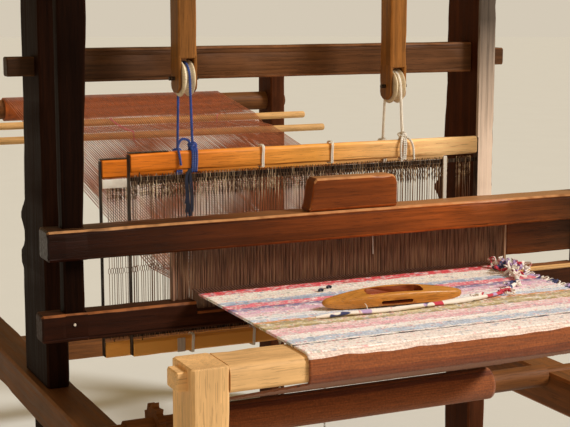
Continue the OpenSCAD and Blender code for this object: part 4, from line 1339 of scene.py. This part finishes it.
class LOOM_OT_shuttle(bpy.types.Operator):
    """Boat shuttle with its quill, lying on the rug"""
    bl_idname = "loom.shuttle"
    bl_label = "Shuttle"

    def execute(self, context):
        half, bottom = 137.5, 30.0
        place = (Matrix.Translation((-46, -572, CLOTH_TOP + 0.2 + bottom))
                 @ Matrix.Rotation(math.radians(-4.5), 4, "Z")
                 @ Matrix.Rotation(math.radians(13), 4, "X")
                 @ Matrix.Translation((0, 0, -bottom)))
        hull = Shape(200)
        stations = []
        for i in range(57):
            t = math.copysign(abs(-1 + i / 28) ** 0.8, -1 + i / 28)
            end = math.sqrt(1 - 0.6 * max(0.0, (abs(t) - 0.95) / 0.05) ** 2)
            wide = (16.3 * (1 - abs(t) ** 1.7) ** 0.85 + 5.5) * end
            low = 8 * abs(t) ** 3 + 0.1 + 5 * (1 - end)
            high = 29.8 - 12 * abs(t) ** 2 - 5 * (1 - end)
            under = [-wide + 2 * wide * k / 12 for k in range(13)]
            ring = [(y, max(low, bottom - math.sqrt(bottom ** 2 - y * y)), 0.2) for y in under]
            foot = ring[-1][1]
            side_up = [(wide + 0.2, foot + (high - foot) * 0.3),
                       (wide + 0.2, foot + (high - foot) * 0.65), (wide - 0.6, high - 2.4),
                       (wide - 2.6, high - 0.5), (wide - 5.5, high)]
            ring += [(y, z, 0.2) for y, z in side_up] + [(-y, z, 0.2) for y, z in side_up[::-1]]
            stations.append((half * t, ring))
        hull.loft("x", stations)
        body = new_object("boat_shuttle", hull.move(place).mesh("boat_shuttle", "birch_along_x",
                                                                True, 50))
        # The pocket for the quill, and the thread's slot through the side
        pocket = [(-56, 6, 12), (-53, 10, 4), (-48, 12, 0), (48, 12, 0), (53, 10, 4), (56, 6, 12)]
        pocket = [(x, [(-w, 6 + d, 0), (w, 6 + d, 0), (w + 1.6, 44, 0), (-w - 1.6, 44, 0)])
                  for x, w, d in pocket]
        slot = [(x, z, 0) for x, z in ((-28, 10.4), (28, 10.4), (31, 12), (31, 16), (28, 17.6),
                                       (-28, 17.6), (-31, 16), (-31, 12))]
        cutters = []
        for seed, axis, rings in ((201, "x", pocket), (202, "y", [(-40, slot), (0, slot)])):
            cutter = Shape(seed)
            cutter.loft(axis, rings)
            cutters.append(new_object("cutter", cutter.move(place).mesh(
                "cutter", "shaded_hollow")))
            cut = body.modifiers.new("cut", "BOOLEAN")
            cut.object = cutters[-1]
            cut.operation = "DIFFERENCE"
            cut.solver = "EXACT"
            cut.material_mode = "TRANSFER"
        soft = body.modifiers.new("soft", "BEVEL")
        soft.width = 0.0009
        soft.segments = 2
        soft.limit_method = "ANGLE"
        soft.angle_limit = math.radians(50)
        evaluated_mesh(body)
        for cutter in cutters:
            bpy.data.objects.remove(cutter)
        settle(body, "frame", ["shuttle"])
        quill = Shape(203)
        quill.rod("x", (0, 15), [(-69, 1.2), (69, 1.2)], 8)
        turns = [(-44 + 2.2 * i, 7.1 if i % 2 else 6.6) for i in range(41)]
        quill.rod("x", (0, 15), [(-48, 3), (-46, 5), *turns, (47, 4)], 14)
        quill.move(place).done("wound_quill", "frame", "pink_tape", ["bobbin"], "white_thread")
        tail = [(-111, -583, 763), (-112, -591, 761), (-113, -596, 756), (-116, -600, 753),
                (-120, -605, 753)]
        strands(204, "shuttle_thread", "frame", "white_thread", [smooth_path(tail, 5)], 0.8)
        return {"FINISHED"}


class LOOM_OT_beater(bpy.types.Operator):
    """Hanging beater: rocker, swords, rails, hand grip and reed"""
    bl_idname = "loom.beater"
    bl_label = "Beater and reed"

    def execute(self, context):
        notch = (SWORD_X[0] - 1, SWORD_X[1] + 1)

        def notched(front, low, high):
            """A rail's section, which stops 1 mm short of the swords in their notches"""
            return lambda t: ((front, SWORD_Y[0] - 1 if notch[0] < abs(t) < notch[1] else -283),
                              (low, high(t) if callable(high) else high))

        edges = [sign * (x + near) for sign in SIDES.values() for x in notch
                 for near in (-0.5, 0.5)]
        timber(210, "beater_hand_rail", "beater", "polished_beater_wood", "beater_top_rail", [
            ("x", (-622, 622), None, None, 4, (841, 885), 36, notched(-346, 835, 892), edges,
             3)])
        # The outermost warp threads clear the raised ends of the race
        step = CLOTH_HALF + 2.5
        steps = [sign * x for sign in SIDES.values() for x in (step - 0.5, step + 0.5)]
        timber(211, "beater_race_rail", "beater", "worn_race_wood", "beater_lower_rail", [
            ("x", (-632, 632), None, None, 4, (690,), 36,
             notched(-331, 683, lambda t: 716 if abs(t) < step else 736), edges + steps, 3)])
        crown = [(-104, 893), (-102, 902), (-97, 930), (-94, 951), (-88, 957.2), (75, 957.2),
                 (81, 955.8), (85, 952), (88, 945)]
        timber(212, "beater_hand_grip", "beater", "polished_beater_wood", "beater_grip", [
            ("x", (-104, 88), None, None, 4, (), 16,
             lambda x: ((-343, -303), (892.2, max(900.0, level(crown, x)))),
             (-102, -97, -94, -88, 75, 78, 81, 85), 1)])

        def sword(sign):
            """The swords widen inwards above the hand rail"""
            inner = ((898, SWORD_X[0]), (1280, SWORD_X[0] - 15))
            return lambda z: (mirrored(sign, level(inner, z), SWORD_X[1]), SWORD_Y)

        timber(213, "beater_sword_pair", "beater", "smoked_pine", "beater_swords", [
            ("z", (683, 1742), None, None, 3, (), 36, sword(sign)) for sign in SIDES.values()])
        rocker = Shape(214, context.scene.loom_timber.hewn)
        for sign in SIDES.values():
            rocker.plank("x", mirrored(sign, 502, 612), (-318, -290), (1688, 1716), 2)
        rocker.plank("x", (-436, 436), (-324, -284), (1684, 1736), 4)
        rocker.rod("x", (-304, 1702), [(x, 12) for x in (-548, -300, 300, 548)], 20)
        rocker.done("beater_rocking_bar", "beater", "smoked_pine", ["beater_rocker"])

        ribs = Shape(215, 0.2)
        for z in ((700, 712), (838, 850)):
            ribs.plank("x", (-375, 375), REED_Y, z, 2, step=50)
        for sign in SIDES.values():
            ribs.plank("z", (702, 848), mirrored(sign, 369, 375), REED_Y, 1)
        ribs = new_object("reed_ribs", ribs.mesh("reed_ribs", "reed_strips"))
        dent = Shape(216)
        dent.plank("z", (710, 840), (-0.45, 0.45), (-4, 4), 0.3, bevel=0.3, step=200)
        dents = row("reed_dents", dent, 240, Vector((-0.3674, FRONT - 0.299, 0)),
                    (0.003074, 0, 0), "reed_strips", shift=(0.0003, 0.0003, 0),
                    turn=(0, 0.0005, 0.06), seed=217)
        settle(joined("steel_reed", ribs, dents), "beater", ["reed"])
        timber(218, "reed_filler_board", "beater", "polished_beater_wood", "reed_filler", [
            ("x", (375.5, 547), REED_Y, (762, 843), 3)])
        strands(219, "reed_marker_thread", "beater", "white_thread", [
            straight((52.5, -308.2, 836), (54, -308, 792), 6)], 0.8)
        nail = Shape(220)
        nail.rod("y", (-572, 715), [(-332.6, 1.6), (-332.2, 2.6), (-330, 2.8)], 12)
        nail.done("race_nail", "beater", "rubbed_iron")
        return {"FINISHED"}


class LOOM_OT_treadles(bpy.types.Operator):
    """Treadles, their rod and the cords that tie them to the shafts"""
    bl_idname = "loom.treadles"
    bl_label = "Treadles"

    def execute(self, context):
        recoat("pine_along_y", "left_treadle", "right_treadle", "treadle_lugs")
        recoat("birch_along_x", "treadle_rod")
        for (shaft, (y, *_)), x in zip(SHAFTS.items(), (-75, 75)):
            node = shaft + "_tie_cord"
            low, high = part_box(node)
            top, foot = high.z * 1000, low.z * 1000
            cord = Shape(230)
            cord.rope(straight((x, y, foot + 6), (x, y, top), 60), 3.0, 16)
            knot = [(-6, -3, 4), (5, -6, 6), (7, 4, 9), (-4, 7, 7), (-7, -4, 10), (4, -5, 11),
                    (0, 0, 6)]
            turn = [(-3, -11, 0), (-2, -11.5, 16), (-2, -10, 33), (0, 10, 33), (2, 11.5, 16),
                    (2, 11, 0), (0, 0, -5), (-3, -11, 0)]
            for loop, z, radius in ((knot, foot, 2.7), (turn, top, 2.6)):
                cord.rope(smooth_path(loop, 6, (x, y, z)), radius, sides=4)
            cord.done(shaft + "_treadle_cord", shaft + "_shaft", "cream_twine", [node])
        return {"FINISHED"}


class LOOM_PT_sidebar(bpy.types.Panel):
    """Lists the loom's pieces in the order in which they are made"""
    bl_label = "Loom"
    bl_idname = "LOOM_PT_sidebar"
    bl_space_type = "VIEW_3D"
    bl_region_type = "UI"
    bl_category = "Loom"

    def draw(self, context):
        for operator in OPERATORS:
            self.layout.operator(operator.bl_idname)
        for key in GROUPS:
            group = getattr(context.scene, key)
            box = self.layout.box()
            for setting in group.bl_rna.properties.keys():
                if setting not in ("rna_type", "name"):
                    box.prop(group, setting)


OPERATORS = (LOOM_OT_stage, LOOM_OT_frame, LOOM_OT_breast_beam, LOOM_OT_pulleys,
             LOOM_OT_shafts, LOOM_OT_warp, LOOM_OT_rug, LOOM_OT_weft, LOOM_OT_shuttle,
             LOOM_OT_beater, LOOM_OT_treadles)
GROUPS = {"loom_timber": LoomTimberSettings, "loom_harness": LoomHarnessSettings,
          "loom_cloth": LoomClothSettings, "loom_stage": LoomStageSettings}


def register():
    for key, group in GROUPS.items():
        bpy.utils.register_class(group)
        setattr(bpy.types.Scene, key, bpy.props.PointerProperty(type=group))
    for item in (*OPERATORS, LOOM_PT_sidebar):
        bpy.utils.register_class(item)


def unregister():
    for item in (LOOM_PT_sidebar, *reversed(OPERATORS)):
        bpy.utils.unregister_class(item)
    for key, group in GROUPS.items():
        delattr(bpy.types.Scene, key)
        bpy.utils.unregister_class(group)


def main():
    register()
    for operator in OPERATORS:
        getattr(bpy.ops.loom, operator.bl_idname.split(".")[1])()


if __name__ == "__main__":
    main()
